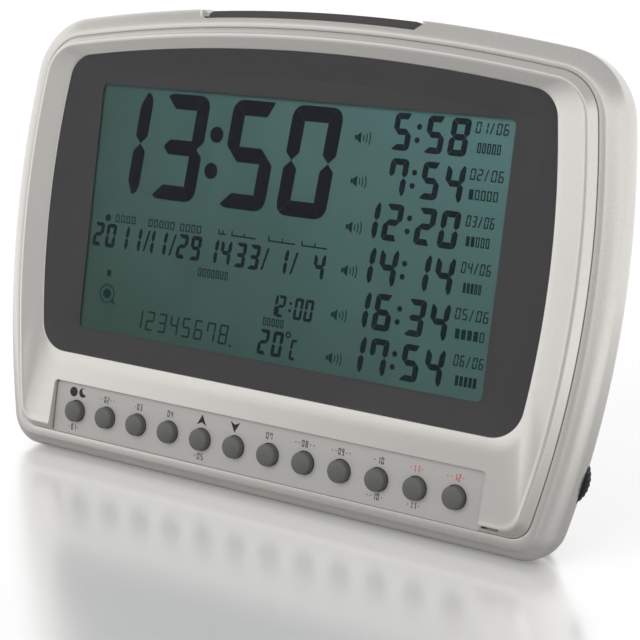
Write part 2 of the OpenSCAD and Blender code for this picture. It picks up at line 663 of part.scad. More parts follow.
module display_holder() color([0.92, 0.92, 0.90]) stand_up() difference() {
  box(-holder_half, holder_half, housing_back + stack_gap, holder_back, holder_low, holder_top);
  box(-view_w / 2 - 3.2, view_w / 2 + 3.2, 0, guide_y + guide_t + stack_gap,
    view_low - 2.25, view_top + 2.25);
  for (z = contact_mids) box(-glass_w / 2 + 2.8, glass_w / 2 - 2.8, 0, far, z - 1.2, z + 1.2);
  for (i = [0:3]) lamp(i, 0.1);
}
contact_mids = [glass_low + contact_h / 2, glass_top - contact_h / 2];
module contact_strips() color([0.90, 0.60, 0.70]) stand_up() for (z = contact_mids)
  box(-glass_w / 2 + 3, glass_w / 2 - 3, rear_glass_y, board_y, z - 1.1, z + 1.1);
// One side-shining lamp, standing on the main board beside the light guide.
module lamp(i, gap) {
  side = i < 2 ? -1 : 1;
  x = side * (view_w / 2 + 3.9);
  z = view_mid + (i % 2 == 0 ? -20 : 20);
  back = board_y + (gap > 0 ? 1 : 0);
  box(x - 0.7 - gap, x + 0.7 + gap, guide_y + 0.6 - gap, back, z - 2 - gap, z + 2 + gap);
}
module backlight_lamps() color([0.95, 0.95, 0.80]) stand_up() for (i = [0:3]) lamp(i, 0);

module main_board() color([0.08, 0.38, 0.22]) stand_up() difference() {
  union() {
    box(-board_half, board_half, board_y, board_back, holder_low, holder_top);
    box(-board_half - ear_out, board_half + ear_out, board_y, board_back, ear_low, ear_top);
  }
  for (p = board_holes) rod(p, screw_r + screw_gap, 0, far);
}
module processor() color([0.08, 0.08, 0.08]) stand_up()
  translate([0, board_back, view_mid + 9.55]) rotate([-90, 0, 0]) rotate_extrude() polygon(concat([[0, 0]],
    [for (a = [0:15:90]) [8 + 2 * cos(a), 1.8 * sin(a)]], [[0, 2.1]]));
module chip(x, z, w, h, t) box(x - w / 2, x + w / 2, board_back, board_back + t, z - h / 2, z + h / 2);
module board_chips() color([0.12, 0.12, 0.13]) stand_up() {
  chip(-22, view_mid + 9.55, 8, 10, 1.8);
  chip(20, view_mid - 12.45, 10, 6, 1.6);
  chip(-14, view_mid - 20.45, 6, 5, 1.5);
}
module quartz_crystal() color([0.75, 0.75, 0.76]) stand_up()
  translate([16, board_back + 1.5, view_mid + 17.55]) rotate([0, 90, 0]) cylinder(r = 1.5, h = 8);
module capacitors() color([0.15, 0.18, 0.35]) stand_up() for (p = [[-20, -15.7], [-8, -13.7], [8, -11.7]])
  rod([p[0], view_top + 1 + p[1]], 3, board_back, board_back + 6.5);
module heat_sensor() color([0.20, 0.45, 0.30]) stand_up() {
  x = view_w / 2 - 15.45;
  z = view_top - 2.7;
  rod([x, z], 0.4, board_back, board_back + 3);
  translate([x, board_back + 4, z]) sphere(r = 1.4, $fn = 24);
}

module snooze_bar() color([0.26, 0.26, 0.25]) stand_up() {
  y1 = bar_back;
  top_sweep(bar_half, concat(
    [[bar_body, bar_front], [bar_drop + 1.0, bar_front], [bar_drop + 0.35, bar_front + 0.3],
     [bar_drop, bar_front + 1.0]],
    [for (k = [1:4]) let (y = bar_front + 1 + (y1 - bar_front - 1.4) * k / 4) [bar_drop + section_d(y), y]],
    [[bar_drop + section_d(y1) + 0.5, y1], [bar_body, y1]]));
  top_sweep(bar_half + bar_lip, [[bar_body - 0.1, bar_front + 0.1], [lip_d, bar_front + 0.1],
    [lip_d, lip_back], [bar_body - 0.1, lip_back]]);
}
module snooze_board() color([0.10, 0.35, 0.20]) stand_up()
  box(-snooze_half, snooze_half, housing_back + 0.6, bar_back, case_h - shelf_d, case_h - snooze_board_d);
module snooze_switch() color([0.15, 0.15, 0.16]) stand_up() {
  base = case_h - snooze_board_d;
  mid = (bar_front + bar_back) / 2;
  box(-3, 3, mid - 3, mid + 3, base, base + switch_body);
  translate([0, mid, base + switch_body]) cylinder(r = 1.7, h = snooze_board_d - button_d - switch_body);
}
module snooze_springs() color([0.70, 0.70, 0.72]) stand_up() for (s = [-1, 1])
  translate([s * spring_x, (bar_front + bar_back) / 2, case_h - shelf_d])
    coil(2.2, 2.2, 0.3, 4, shelf_d - bar_body - arch_sag - 0.05);

module volume_wheel() color([0.13, 0.14, 0.13]) stand_up() difference() {
  plate(wheel_y, wheel_y + wheel_t) translate([wheel_x, wheel_z]) polygon([for (i = [0:2 * wheel_teeth - 1])
    polar(wheel_r - (i % 2) * wheel_groove, 180 * i / wheel_teeth)]);
  rod([wheel_x, wheel_z], spindle_r + run_gap, 0, wheel_y + wheel_t - 1);
}
module volume_control() color([0.30, 0.28, 0.22]) stand_up() {
  rod([wheel_x, wheel_z], pot_r - 0.3, key_board_back, key_board_back + pot_t);
  rod([wheel_x, wheel_z], spindle_r, key_board_back + pot_t - 0.1, wheel_y + wheel_t - 1.1);
}

module back_cover() color([0.70, 0.69, 0.67]) stand_up() difference() {
  union() {
    skin(cover_rings());
    intersection() {
      envelope(wall / 2);
      union() {
        for (p = case_holes) rod(p, 4.6, boss_end + 0.2, far);
        box(-channel_half - channel_wall, channel_half + channel_wall, pocket_y - channel_wall, far,
          pocket_low - channel_wall, pocket_top + channel_wall);
        box(-channel_half - channel_wall, channel_half + channel_wall, channel_y - channel_wall, far,
          low_d(seam_d), pocket_top);
        box(bay_x - bay_half - bay_wall, bay_x + bay_half + bay_wall, bay_floor - bay_wall, far,
          bay_low - bay_wall, bay_top + bay_wall);
        box(bay_x - bay_half - door_ledge - 1, bay_x + bay_half + door_ledge + 1, door_y - 1.8, far,
          bay_low - door_ledge - 1, bay_top + door_ledge + 1);
        for (a = speaker_bearings) rod(speaker_screw(a), 2.3, inner_back - flange_t - 0.4, far);
      }
    }
  }
  for (p = case_holes) rod(p, screw_r + screw_gap + 0.2, 0, far);
  for (p = case_holes) rod(p, head_r + 0.3, screw_seat, far);
  box(-channel_half, channel_half, pocket_y, far, pocket_low, pocket_top);
  box(-channel_half, channel_half, channel_y, far, -10, pocket_top - 0.5);
  rod_x(-leg_w / 2 - 1.6, leg_w / 2 + 1.6, leg_y, hinge_z, pin_r);
  box(bay_x - bay_half, bay_x + bay_half, bay_floor, far, bay_low, bay_top);
  box(bay_x - door_half - door_gap, bay_x + door_half + door_gap, door_y - 0.1, far,
    door_low - door_gap, door_top + door_gap);
  rod_x(bay_x - door_half - stud_l - 0.1, bay_x + door_half + stud_l + 0.1, door_axis_y, door_axis_z,
    stud_r + run_gap);
  for (a = speaker_bearings) rod(speaker_screw(a), 1.0, 0, inner_back + 1);
  for (k = [-4:4]) grille(k);
  rod_x(bay_x - bay_half - bay_wall - 1, bay_x - bay_half + 1, lead_y, bay_top - 5, 1);
  rod_x(bay_x + bay_half - 1, bay_x + bay_half + bay_wall + 1, lead_y, bay_low + 5, 1);
}
function speaker_screw(a) = [speaker_x, speaker_z] + polar(speaker_screw_r, a);
// The cover's rings: the outer flat, out to the seam, round the tongue and back along the inside.
function cover_rings() = let (d0 = section_d(seam_y + seam_gap), tongue = seam_d + wall + 0.2) concat(
  [for (k = [3:-1:0]) back_ring(k, 0)],
  [case_ring(d0, seam_y + seam_gap),
   case_ring(seam_d, seam_y + seam_gap, wall + 0.2),
   case_ring(seam_d, seam_y - 2.5, wall + 0.2),
   case_ring(seam_d, seam_y - 2.5, wall + 1.6),
   case_ring(seam_d, seam_y + 2.2, wall + 1.6)],
  [for (k = [0:3]) back_ring(k, wall)]);
function back_ring(k, t) =
  let (a = taper_angle + (90 - taper_angle) * k / 3, y = case_d - back_round_r * (1 - sin(a)) - t * sin(a))
  case_ring(flat_d - back_round_r * cos(a), y, t * cos(a));
// The space inside the cover's outer face, drawn in by t.
module envelope(t) skin(concat([for (k = [3:-1:0]) back_ring(k, t)],
  [case_ring(section_d(seam_y + seam_gap), seam_y + seam_gap, t),
   case_ring(seam_d, seam_y - 2.4, wall + 0.4)]));
module grille(k) {
  half = sqrt(pow(speaker_r - 4.5, 2) - pow(k * grille_pitch, 2));
  z = speaker_z + k * grille_pitch;
  plate(inner_back - 1, far) union() {
    translate([speaker_x - half, z - grille_slot / 2]) square([2 * half, grille_slot]);
    for (s = [-1, 1]) translate([speaker_x + s * half, z]) circle(r = grille_slot / 2);
  }
}

// The speaker's pieces are turned about its axis, from [radius, height above the rim].
module turned_speaker(profile) translate([speaker_x, inner_back, speaker_z]) rotate([90, 0, 0])
  rotate_extrude() polygon(profile);
module speaker_frame() color([0.45, 0.45, 0.47]) stand_up() turned_speaker([
  [speaker_r - 2.5, 0], [speaker_r, 0], [speaker_r, flange_t], [speaker_r - 2, flange_t], [15, 8],
  [15, speaker_h - 6], [9, speaker_h - 6], [9, speaker_h - 7], [14, speaker_h - 7], [14, 7.6],
  [speaker_r - 2.5, flange_t - 0.2]]);
module speaker_magnet() color([0.25, 0.25, 0.26]) stand_up()
  turned_speaker([[0, speaker_h - 6], [14, speaker_h - 6], [14, speaker_h], [0, speaker_h]]);
module speaker_cone() color([0.12, 0.12, 0.12]) stand_up() turned_speaker([
  [0, 3.2], [4, 3.4], [6.5, 5.4], [16, 1.4], [17, 0.3], [speaker_r - 2.6, 0.3], [speaker_r - 2.6, 0.6],
  [17.3, 0.6], [16.3, 1.9], [8, 5.8], [8, speaker_h - 6], [7.2, speaker_h - 6], [7.2, 6], [4, 4], [0, 3.8]]);
module speaker_screws() color([0.75, 0.75, 0.76]) stand_up() for (a = speaker_bearings) {
  rod(speaker_screw(a), 2.9, inner_back - flange_t - 2, inner_back - flange_t - 0.4);
  rod(speaker_screw(a), 1.0 - screw_gap, inner_back - flange_t - 0.5, inner_back + 0.8);
}

module battery_door() color([0.70, 0.69, 0.67]) stand_up() difference() {
  union() {
    box(bay_x - door_half, bay_x + door_half, door_y, case_d, door_axis_z, door_top);
    rod_x(bay_x - door_half, bay_x + door_half, door_axis_y, door_axis_z, door_t / 2);
    rod_x(bay_x - door_half - stud_l, bay_x + door_half + stud_l, door_axis_y, door_axis_z, stud_r);
  }
  for (k = [0:4]) box(bay_x - 8 + k, bay_x + 8 - k, case_d - 0.6, far,
    door_top - 6 - 2 * k, door_top - 5 - 2 * k);
}
module cell(x, up) {
  low = up ? bay_top - plate_t - nub_l - cell_l : bay_low + plate_t + nub_l;
  translate([x, cell_y, low]) cylinder(r = cell_d / 2, h = cell_l);
  translate([x, cell_y, up ? low + cell_l - 0.1 : low - nub_l]) cylinder(r = 2.7, h = nub_l + 0.1);
}
module cell_left() color([0.35, 0.50, 0.40]) stand_up() cell(bay_x - cell_pitch, true);
module cell_middle() color([0.35, 0.50, 0.40]) stand_up() cell(bay_x, false);
module cell_right() color([0.35, 0.50, 0.40]) stand_up() cell(bay_x + cell_pitch, true);
module contact_springs() color([0.78, 0.78, 0.78]) stand_up() for (k = [-1:1]) {
  up = k != 0;
  gap_l = bay_len - 2 * plate_t - nub_l - cell_l;
  translate([bay_x + k * cell_pitch, cell_y, up ? bay_low + plate_t : bay_top - plate_t])
    mirror([0, 0, up ? 0 : 1]) coil(4.2, 2.6, 0.35, 4, gap_l - 0.1);
}
// The cells are joined in series: a plate at each end, and two that bridge neighbours.
module contact(k0, k1, z) box(bay_x + k0 * cell_pitch - plate_half, bay_x + k1 * cell_pitch + plate_half,
  bay_floor, cell_y + 6, z, z + plate_t);
module contact_plates() color([0.80, 0.80, 0.80]) stand_up() {
  contact(-1, -1, bay_top - plate_t);
  contact(-1, 0, bay_low);
  contact(0, 1, bay_top - plate_t);
  contact(1, 1, bay_low);
}

// The leg is drawn folded, pointing down from its hinge, and swung out.
module swung() translate([0, leg_y, hinge_z]) rotate([leg_swing, 0, 0]) children();
module stand_leg() color([0.70, 0.69, 0.67]) stand_up() swung() difference() {
  union() {
    box(-leg_w / 2, leg_w / 2, -leg_t / 2, leg_t / 2, -leg_l, heel_l);
    rod_x(-leg_w / 2, leg_w / 2, 0, -leg_l, leg_t / 2);
  }
  rod_x(-leg_w, leg_w, 0, 0, pin_r + run_gap);
  box(-leg_w / 2 + 8, leg_w / 2 - 8, 0.3, far, -leg_l + 12, -12);
}
module stand_pin() color([0.75, 0.75, 0.76]) stand_up()
  rod_x(-leg_w / 2 - 1.5, leg_w / 2 + 1.5, leg_y, hinge_z, pin_r);
module stand_tip() color([0.12, 0.12, 0.12]) stand_up() difference() {
  rod_x(-leg_w / 2 + 2, leg_w / 2 - 2, tip_place[1], tip_place[2], tip_r);
  swung() {
    box(-leg_w, leg_w, -leg_t / 2, leg_t / 2, -leg_l, 0);
    rod_x(-leg_w, leg_w, 0, -leg_l, leg_t / 2);
  }
  underground();
}
module underground() translate([0, low_y, low_z]) rotate([lean, 0, 0])
  translate([-far, -far, -far - foot_proud]) cube([2 * far, 2 * far, far]);
// The rubber feet, or the pockets for them with some clearance.
module feet(gap) for (s = [-1, 1]) translate([s * foot_span / 2, foot_y, foot_z]) rotate([lean, 0, 0])
  translate([0, 0, -foot_drop]) cylinder(r = foot_r + gap, h = foot_drop + foot_deep);
module rubber_feet() color([0.12, 0.12, 0.12]) stand_up() feet(0);

module screw(p, seat, length) {
  rod(p, head_r, seat, seat + head_h);
  rod(p, screw_r, seat - length, seat + 0.1);
}
module case_screws() color([0.72, 0.72, 0.73]) stand_up() for (p = case_holes) screw(p, screw_seat, 10);
module board_screws() color([0.72, 0.72, 0.73]) stand_up() {
  for (p = board_holes) screw(p, board_back, 4.5);
  for (p = key_screws) screw(p, key_board_back, 3.4);
}
module speaker_leads() color([0.70, 0.15, 0.12]) stand_up() for (s = [0, 2.5])
  wire([[speaker_x + 24 + s, board_back, speaker_z + 9], [speaker_x + 24 + s, board_back + 6, speaker_z + 9],
    [speaker_x + 15.8, board_back + 6, speaker_z + s],
    [speaker_x + 15.8, inner_back - 8.4, speaker_z + s]], lead_r);
module battery_leads() color([0.12, 0.12, 0.13]) stand_up() {
  wire([[bay_x - 34, board_back, bay_z + 13], [bay_x - 34, board_back + 5, bay_z + 13],
    [bay_x - 28, lead_y, bay_top - 5],
    [bay_x - lead_x, lead_y, bay_top - 5], [bay_x - lead_x, lead_y - 1, bay_top - plate_t]], lead_r);
  wire([[bay_x + 26, board_back, bay_z - 11], [bay_x + 26, board_back + 5, bay_z - 11],
    [bay_x + 28, lead_y, bay_low + 5],
    [bay_x + lead_x, lead_y, bay_low + 5], [bay_x + lead_x, lead_y - 1, bay_low + plate_t]], lead_r);
}

front_panel();
window_lens();
window_mask();
key_strip();
key_cap(1);  // key_cap_1
key_cap(2);  // key_cap_2
key_cap(3);  // key_cap_3
key_cap(4);  // key_cap_4
key_cap(5);  // key_cap_5
key_cap(6);  // key_cap_6
key_cap(7);  // key_cap_7
key_cap(8);  // key_cap_8
key_cap(9);  // key_cap_9
key_cap(10);  // key_cap_10
key_cap(11);  // key_cap_11
key_cap(12);  // key_cap_12
key_mat();
key_board();
key_ribbon();
front_housing();
display_gasket();
front_polariser();
front_glass();
rear_glass();
rear_polariser();
light_guide();
display_holder();
contact_strips();
backlight_lamps();
main_board();
processor();
board_chips();
quartz_crystal();
capacitors();
heat_sensor();
snooze_bar();
snooze_board();
snooze_switch();
snooze_springs();
volume_wheel();
volume_control();
back_cover();
speaker_frame();
speaker_magnet();
speaker_cone();
speaker_screws();
battery_door();
cell_left();
cell_middle();
cell_right();
contact_springs();
contact_plates();
stand_leg();
stand_pin();
stand_tip();
rubber_feet();
case_screws();
board_screws();
speaker_leads();
battery_leads();
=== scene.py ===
# %% [markdown]
# # A digital alarm clock that leans back on its stand
# The clock is a satin silver case round a large grey display, with twelve round keys under it.
# Its solid parts come in ready made, at their true size. This lesson dresses them: it draws the
# shells again with finer curves, prints the display and gives each part the finish it has in the hand.

# %% Bring in the solid parts
import json
import math
import bmesh
import bpy
from mathutils import Matrix, Vector


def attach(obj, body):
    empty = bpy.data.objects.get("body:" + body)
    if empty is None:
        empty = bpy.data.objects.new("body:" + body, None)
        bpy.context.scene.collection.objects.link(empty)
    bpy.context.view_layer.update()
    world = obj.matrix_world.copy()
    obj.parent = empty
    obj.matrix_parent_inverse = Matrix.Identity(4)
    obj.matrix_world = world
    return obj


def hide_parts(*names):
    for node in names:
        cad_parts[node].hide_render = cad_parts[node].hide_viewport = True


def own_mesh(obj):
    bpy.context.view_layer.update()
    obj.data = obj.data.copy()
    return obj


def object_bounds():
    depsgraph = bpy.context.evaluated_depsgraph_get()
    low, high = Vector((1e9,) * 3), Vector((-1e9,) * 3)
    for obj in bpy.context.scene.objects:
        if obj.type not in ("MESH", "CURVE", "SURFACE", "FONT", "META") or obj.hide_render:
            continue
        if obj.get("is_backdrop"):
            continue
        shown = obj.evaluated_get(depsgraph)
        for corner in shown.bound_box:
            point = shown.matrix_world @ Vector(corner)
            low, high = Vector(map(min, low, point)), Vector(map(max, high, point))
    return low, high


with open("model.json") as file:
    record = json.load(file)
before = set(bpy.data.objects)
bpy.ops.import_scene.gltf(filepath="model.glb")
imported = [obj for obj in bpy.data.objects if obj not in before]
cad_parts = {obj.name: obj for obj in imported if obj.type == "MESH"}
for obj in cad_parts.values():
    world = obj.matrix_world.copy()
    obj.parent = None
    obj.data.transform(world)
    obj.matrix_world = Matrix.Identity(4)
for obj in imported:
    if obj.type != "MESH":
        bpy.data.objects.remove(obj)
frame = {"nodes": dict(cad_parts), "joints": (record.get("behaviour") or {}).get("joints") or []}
solid_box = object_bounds()

# %% [markdown]
# ## Working on the leaning face
# The case leans back by twelve degrees, so nothing on it is square to the room. We work in
# millimetres on the clock's own face instead: x to the right, y into the clock from the window's
# surface, z up from the case's lower edge. The keys slide straight into the face, so their joint
# gives the direction of y, and the hinge of the stand gives the place of the origin.

# %% Millimetres on the face
MM = 0.001
joint = {j["name"]: j for j in frame["joints"]}
ACROSS = Vector((1, 0, 0))
INWARD = Vector(joint["key_1_press"]["axis"]).normalized()
UPWARD = ACROSS.cross(INWARD)
STAND_HINGE = (0, 35.2, 66)                 # the stand's hinge on the face, in mm
turn = Matrix((ACROSS, INWARD, UPWARD)).transposed()
origin = Vector(joint["stand_fold"]["pos_m"]) - turn @ Vector(STAND_HINGE) * MM
ON_FACE = Matrix.Translation(origin) @ turn.to_4x4() @ Matrix.Scale(MM, 4)
print("the face leans back", round(math.degrees(math.acos(UPWARD.z)), 2), "degrees")

# %% [markdown]
# ## Camera
# The photograph looks at the clock from its right and a little from above, with a long lens. The
# camera's place and turn were worked out once from the corners of the window and the row of keys.

# %% Camera
CAMERA_AT = (278.4, -410.5, 98.8)           # on the face, in mm
LOOKS_RIGHT = Vector((0.8348, 0.5382, 0.1158))
LOOKS_ALONG = Vector((-0.5316, 0.8428, -0.0842))
LENS_MM = 92.107
camera = bpy.data.objects.new("camera", bpy.data.cameras.new("camera"))
bpy.context.scene.collection.objects.link(camera)
right = (turn @ LOOKS_RIGHT).normalized()
back = -(turn @ LOOKS_ALONG).normalized()
up = back.cross(right).normalized()
right = up.cross(back)
camera.matrix_world = (Matrix.Translation(ON_FACE @ Vector(CAMERA_AT))
                       @ Matrix((right, up, back)).transposed().to_4x4())
camera.data.lens = LENS_MM
camera.data.clip_start = 0.01
bpy.context.scene.camera = camera
bpy.context.scene.view_settings.view_transform = "Standard"
print("camera", [round(v, 3) for v in camera.location], "lens", camera.data.lens, "mm")

# %% [markdown]
# ## Colours
# A colour read from a picture is not the number a shader wants. This helper turns a colour on the
# usual scale of 0 to 255 into the light that it stands for, so that each finish can be written down
# as the eye sees it.

# %% Colours as the eye reads them
def tint(red, green, blue, alpha=1.0):
    """A colour written as 0 to 255, as the light values that a shader takes."""
    def light(v):
        v /= 255
        return v / 12.92 if v <= 0.04045 else ((v + 0.055) / 1.055) ** 2.4
    return (light(red), light(green), light(blue), alpha)


def shaded(colour, share):
    """The same colour, lighter or darker by a share."""
    return tuple(min(1, v * share) for v in colour[:3]) + (colour[3],)


print("satin silver as light:", [round(v, 3) for v in tint(205, 202, 197)])

# %% [markdown]
# ## How a finish is built
# Every finish here starts from one shader and gets its life from small unevenness: a cloudy change
# of colour, a fine grain that the light catches, and a gloss that is never quite the same twice.
# The grain's size is given in millimetres, because the parts are modelled at their true size.

# %% Short words for nodes
class Web:
    """A web of joined nodes, with short words for the kinds used here."""

    def __init__(self, tree):
        self.nodes, self.links = tree.nodes, tree.links

    def new(self, kind):
        return self.nodes.new("ShaderNode" + kind)

    def join(self, source, socket):
        """Joins another node's output to a socket, or sets a number or a colour on it."""
        if isinstance(source, (int, float, tuple)):
            socket.default_value = source
        else:
            self.links.new(source, socket)

    def maths(self, first, second, how="ADD"):
        node = self.new("Math")
        node.operation = how
        self.join(first, node.inputs[0])
        self.join(second, node.inputs[1])
        return node.outputs["Value"]

    def span(self, source, low, high, from_low=0.3, from_high=0.7):
        """The value spread from low to high."""
        node = self.new("MapRange")
        self.join(source, node.inputs["Value"])
        for name, value in (("From Min", from_low), ("From Max", from_high),
                            ("To Min", low), ("To Max", high)):
            node.inputs[name].default_value = value
        return node.outputs["Result"]

    def dot(self, place, direction):
        """How far a place lies along a direction."""
        node = self.new("VectorMath")
        node.operation = "DOT_PRODUCT"
        self.join(place, node.inputs[0])
        node.inputs[1].default_value = direction
        return node.outputs["Value"]


print("words for nodes:", [word for word in vars(Web) if word[0] != "_"])


# %% The start of every finish
class Finish(Web):
    """A material that starts from one shader, drawn by the place of a point on the piece."""

    def __init__(self, name):
        self.material = bpy.data.materials.new(name)
        self.material.use_nodes = True
        super().__init__(self.material.node_tree)
        self.shader = self.nodes["Principled BSDF"]
        self.place = self.new("TexCoord").outputs["Object"]

    def fix(self, **values):
        """Numbers that are the same all over the piece."""
        for name, value in values.items():
            self.shader.inputs[name.replace("_", " ")].default_value = value

    def noise(self, size_mm, detail=3.0):
        """Soft clouds of about this size, from 0 to 1."""
        node = self.new("TexNoise")
        node.inputs["Scale"].default_value = 1 / (size_mm * MM)
        node.inputs["Detail"].default_value = detail
        self.join(self.place, node.inputs["Vector"])
        return node.outputs["Fac"]

    def blend(self, share, first, second):
        """Between two colours, or the outputs of two nodes."""
        node = self.new("Mix")
        node.data_type = "RGBA"
        self.join(share, node.inputs["Factor"])
        self.join(first, node.inputs[6])
        self.join(second, node.inputs[7])
        return node.outputs[2]

    def along(self, direction, start=0.0):
        """How far a point lies along a direction of the face, in mm."""
        turned_to = turn @ Vector(direction)
        shift = turned_to.dot(origin) / MM + start
        return self.maths(self.dot(self.place, turned_to / MM), shift, "SUBTRACT")

    def relief(self, height, depth_mm):
        """Turns a pattern into unevenness of this depth."""
        node = self.new("Bump")
        node.inputs["Distance"].default_value = depth_mm * MM
        node.inputs["Strength"].default_value = 1.0
        self.join(height, node.inputs["Height"])
        self.join(node.outputs["Normal"], self.shader.inputs["Normal"])

    def colour(self, source):
        self.join(source, self.shader.inputs["Base Color"])

    def gloss(self, source):
        self.join(source, self.shader.inputs["Roughness"])


print("words for finishes:", [word for word in vars(Finish) if word[0] != "_"])


# %% Moulded plastic and rubber
def moulded(name, colour, gloss=0.45, cloud=0.05, grain_mm=0.35, grain_depth=0.004, **fixed):
    """Moulded plastic or rubber: faint clouds in the colour and a fine eroded grain."""
    made = Finish(name)
    clouds = made.noise(14, 4)
    grain = made.noise(grain_mm, 2)
    both = made.maths(made.maths(clouds, 0.7, "MULTIPLY"), made.maths(grain, 0.3, "MULTIPLY"))
    made.colour(made.blend(made.span(both, 0, 1), shaded(colour, 1 - cloud), shaded(colour, 1 + cloud)))
    made.gloss(made.span(clouds, gloss - 0.05, gloss + 0.05))
    made.relief(grain, grain_depth)
    made.fix(**fixed)
    return made.material


print("moulded plastic and rubber take", moulded.__code__.co_argcount, "values")

# %% [markdown]
# ## Satin silver paint
# The case is moulded in grey plastic and sprayed with a fine silver paint. The flakes are too small
# to see one by one, so from a step away they give a soft metal sheen with a slight sparkle. A share
# of metal in the shader gives that sheen, and noise finer than a tenth of a millimetre the sparkle.

# %% Silver paint
FLAKE_MM, CLOUD_MM, PEEL_MM = 0.09, 25, 0.3     # flakes, clouds in the gloss, and the paint's fine waves


def silver_paint(name, colour, metal, gloss):
    """Silver whose flakes differ a little in colour, gloss and share of metal."""
    made = Finish(name)
    flakes = made.noise(FLAKE_MM, 1)
    clouds = made.noise(CLOUD_MM, 3)
    made.colour(made.blend(made.span(flakes, 0, 1), shaded(colour, 0.955), shaded(colour, 1.045)))
    made.gloss(made.maths(made.span(flakes, gloss - 0.04, gloss + 0.04), made.span(clouds, -0.012, 0.012)))
    made.join(made.span(flakes, metal - 0.1, metal + 0.1), made.shader.inputs["Metallic"])
    made.relief(made.noise(PEEL_MM, 2), 0.0005)
    return made.material


panel_paint = silver_paint("panel_paint", tint(226, 223, 218), 0.80, 0.22)
housing_paint = silver_paint("housing_paint", tint(224, 221, 216), 0.80, 0.24)
print("paints:", panel_paint.name, housing_paint.name)

# %% [markdown]
# ## Outlines of the case
# Seen from the front, the case is a box with bowed sides, an arched top and rounded corners. Each
# half of the outline is four arcs that run smoothly into each other. The same function draws the
# case, the panel's groove and the window, each with its own sizes.

# %% Outlines made of arcs
CASE_W, CASE_H, WIDEST = 219.2, 149.4, 79.1     # width, height, and the height where it is widest
TOP_CORNER, LOW_CORNER, SIDE_BOW, TOP_ARCH = 21.5, 11.0, 300.0, 600.0      # radii of the four arcs
LOW_STEPS, SIDE_STEPS, TOP_STEPS, ARCH_STEPS = 14, 22, 16, 34


def arc(centre, radius, start, end, steps, first=1):
    """Points on an arc, in degrees."""
    points = []
    for i in range(first, steps + 1):
        a = math.radians(start + (end - start) * i / steps)
        points.append((centre[0] + radius * math.cos(a), centre[1] + radius * math.sin(a)))
    return points


def at_depth(points, depth):
    """A flat outline of x and z as a ring at one depth."""
    return [(x, depth, z) for x, z in points]


def bearing(start, end):
    """The direction from one point to another, in degrees."""
    return math.degrees(math.atan2(end[1] - start[1], end[0] - start[0]))


def meet(a, radius_a, b, radius_b):
    """Where two circles cross, on the right of the line from a to b."""
    dx, dy = b[0] - a[0], b[1] - a[1]
    d = math.hypot(dx, dy)
    s = (radius_a ** 2 - radius_b ** 2 + d ** 2) / (2 * d)
    off = math.sqrt(radius_a ** 2 - s ** 2)
    return (a[0] + dx / d * s + dy / d * off, a[1] + dy / d * s - dx / d * off)


def outline(half, top, low, top_r, low_r, side_r, arch_r):
    """A closed outline of x and z, from the middle of the bottom and round."""
    side_c = (half - side_r, WIDEST)
    arch_c = (0, top - arch_r)
    low_z = low + low_r
    low_c = (side_c[0] + math.sqrt((side_r - low_r) ** 2 - (low_z - WIDEST) ** 2), low_z)
    top_c = meet(arch_c, arch_r - top_r, side_c, side_r - top_r)
    a0, a1, a2 = bearing(side_c, low_c), bearing(side_c, top_c), bearing(arch_c, top_c)
    right_side = (arc(low_c, low_r, -90, a0, LOW_STEPS, 0) + arc(side_c, side_r, a0, a1, SIDE_STEPS)
                  + arc(top_c, top_r, a1, a2, TOP_STEPS) + arc(arch_c, arch_r, a2, 90, ARCH_STEPS))
    return right_side + [(-x, z) for x, z in reversed(right_side[:-1])]


case_outline = outline(CASE_W / 2, CASE_H, 0, TOP_CORNER, LOW_CORNER, SIDE_BOW, TOP_ARCH)
print("points round one outline:", len(case_outline))

# %% [markdown]
# ## The case's section
# Cut from front to back, the case is widest just behind the window. A rounding leads to the front
# edge, and behind the widest line the wall turns inward into a straight taper, with a large rounding
# to the flat back. Each ring of points is the outline drawn in by the section's inset at one depth.

# %% Rings round the case
FRONT_ROUND, FRONT_SPREAD = 4.0, 5.2        # the front rounding's depth, and its width seen from the front
REAR_ROUND, BACK_ROUND = 12.0, 9.0          # radii behind the widest line and at the flat back
ROUND_Y, REAR_Y, BACK_Y = 5.3, 9.3, 37.0    # where the front rounding ends, the rear one starts, and the back
TAPER, UNDER_TAPER = 38, 0.45               # slope of the taper in degrees, and the underside's share of it
GROOVE_SIDE, GROOVE_TOP, GROOVE_LOW = 7.0, 6.5, 6.4     # how far inside the case the panel's groove runs
WALL, SEAM_Y = 2.2, 18.0
taper_inset = REAR_ROUND * (1 - math.cos(math.radians(TAPER)))
taper_y = REAR_Y + REAR_ROUND * math.sin(math.radians(TAPER))
flat_y = BACK_Y - BACK_ROUND * (1 - math.sin(math.radians(TAPER)))


def section(depth):
    """How far the case's wall lies inside its widest outline at a depth."""
    if depth < REAR_Y:
        return 0
    if depth < taper_y:
        return REAR_ROUND - math.sqrt(REAR_ROUND ** 2 - (depth - REAR_Y) ** 2)
    return taper_inset + (depth - taper_y) * math.tan(math.radians(TAPER))


seam_inset = section(SEAM_Y)
flat_inset = section(flat_y) + BACK_ROUND * math.cos(math.radians(TAPER))


def underside(inset):
    """The height of the underside at an inset."""
    return inset if inset < taper_inset else taper_inset + (inset - taper_inset) * UNDER_TAPER


def case_ring(inset, depth, inner=0.0):
    """The case's outline at an inset and a depth; inner is how far inside the wall it runs."""
    def corner(radius):
        full = max(radius - inset, radius - GROOVE_SIDE) + max(0, inset - seam_inset) * 0.15
        return max(full - inner, 3)

    far = inset + inner
    return at_depth(outline(CASE_W / 2 - far, CASE_H - far, underside(inset) + inner, corner(TOP_CORNER),
                            corner(LOW_CORNER), SIDE_BOW - far, TOP_ARCH - far), depth)


print("inset at the seam", round(seam_inset, 2), "and at the flat back", round(flat_inset, 2), "mm")

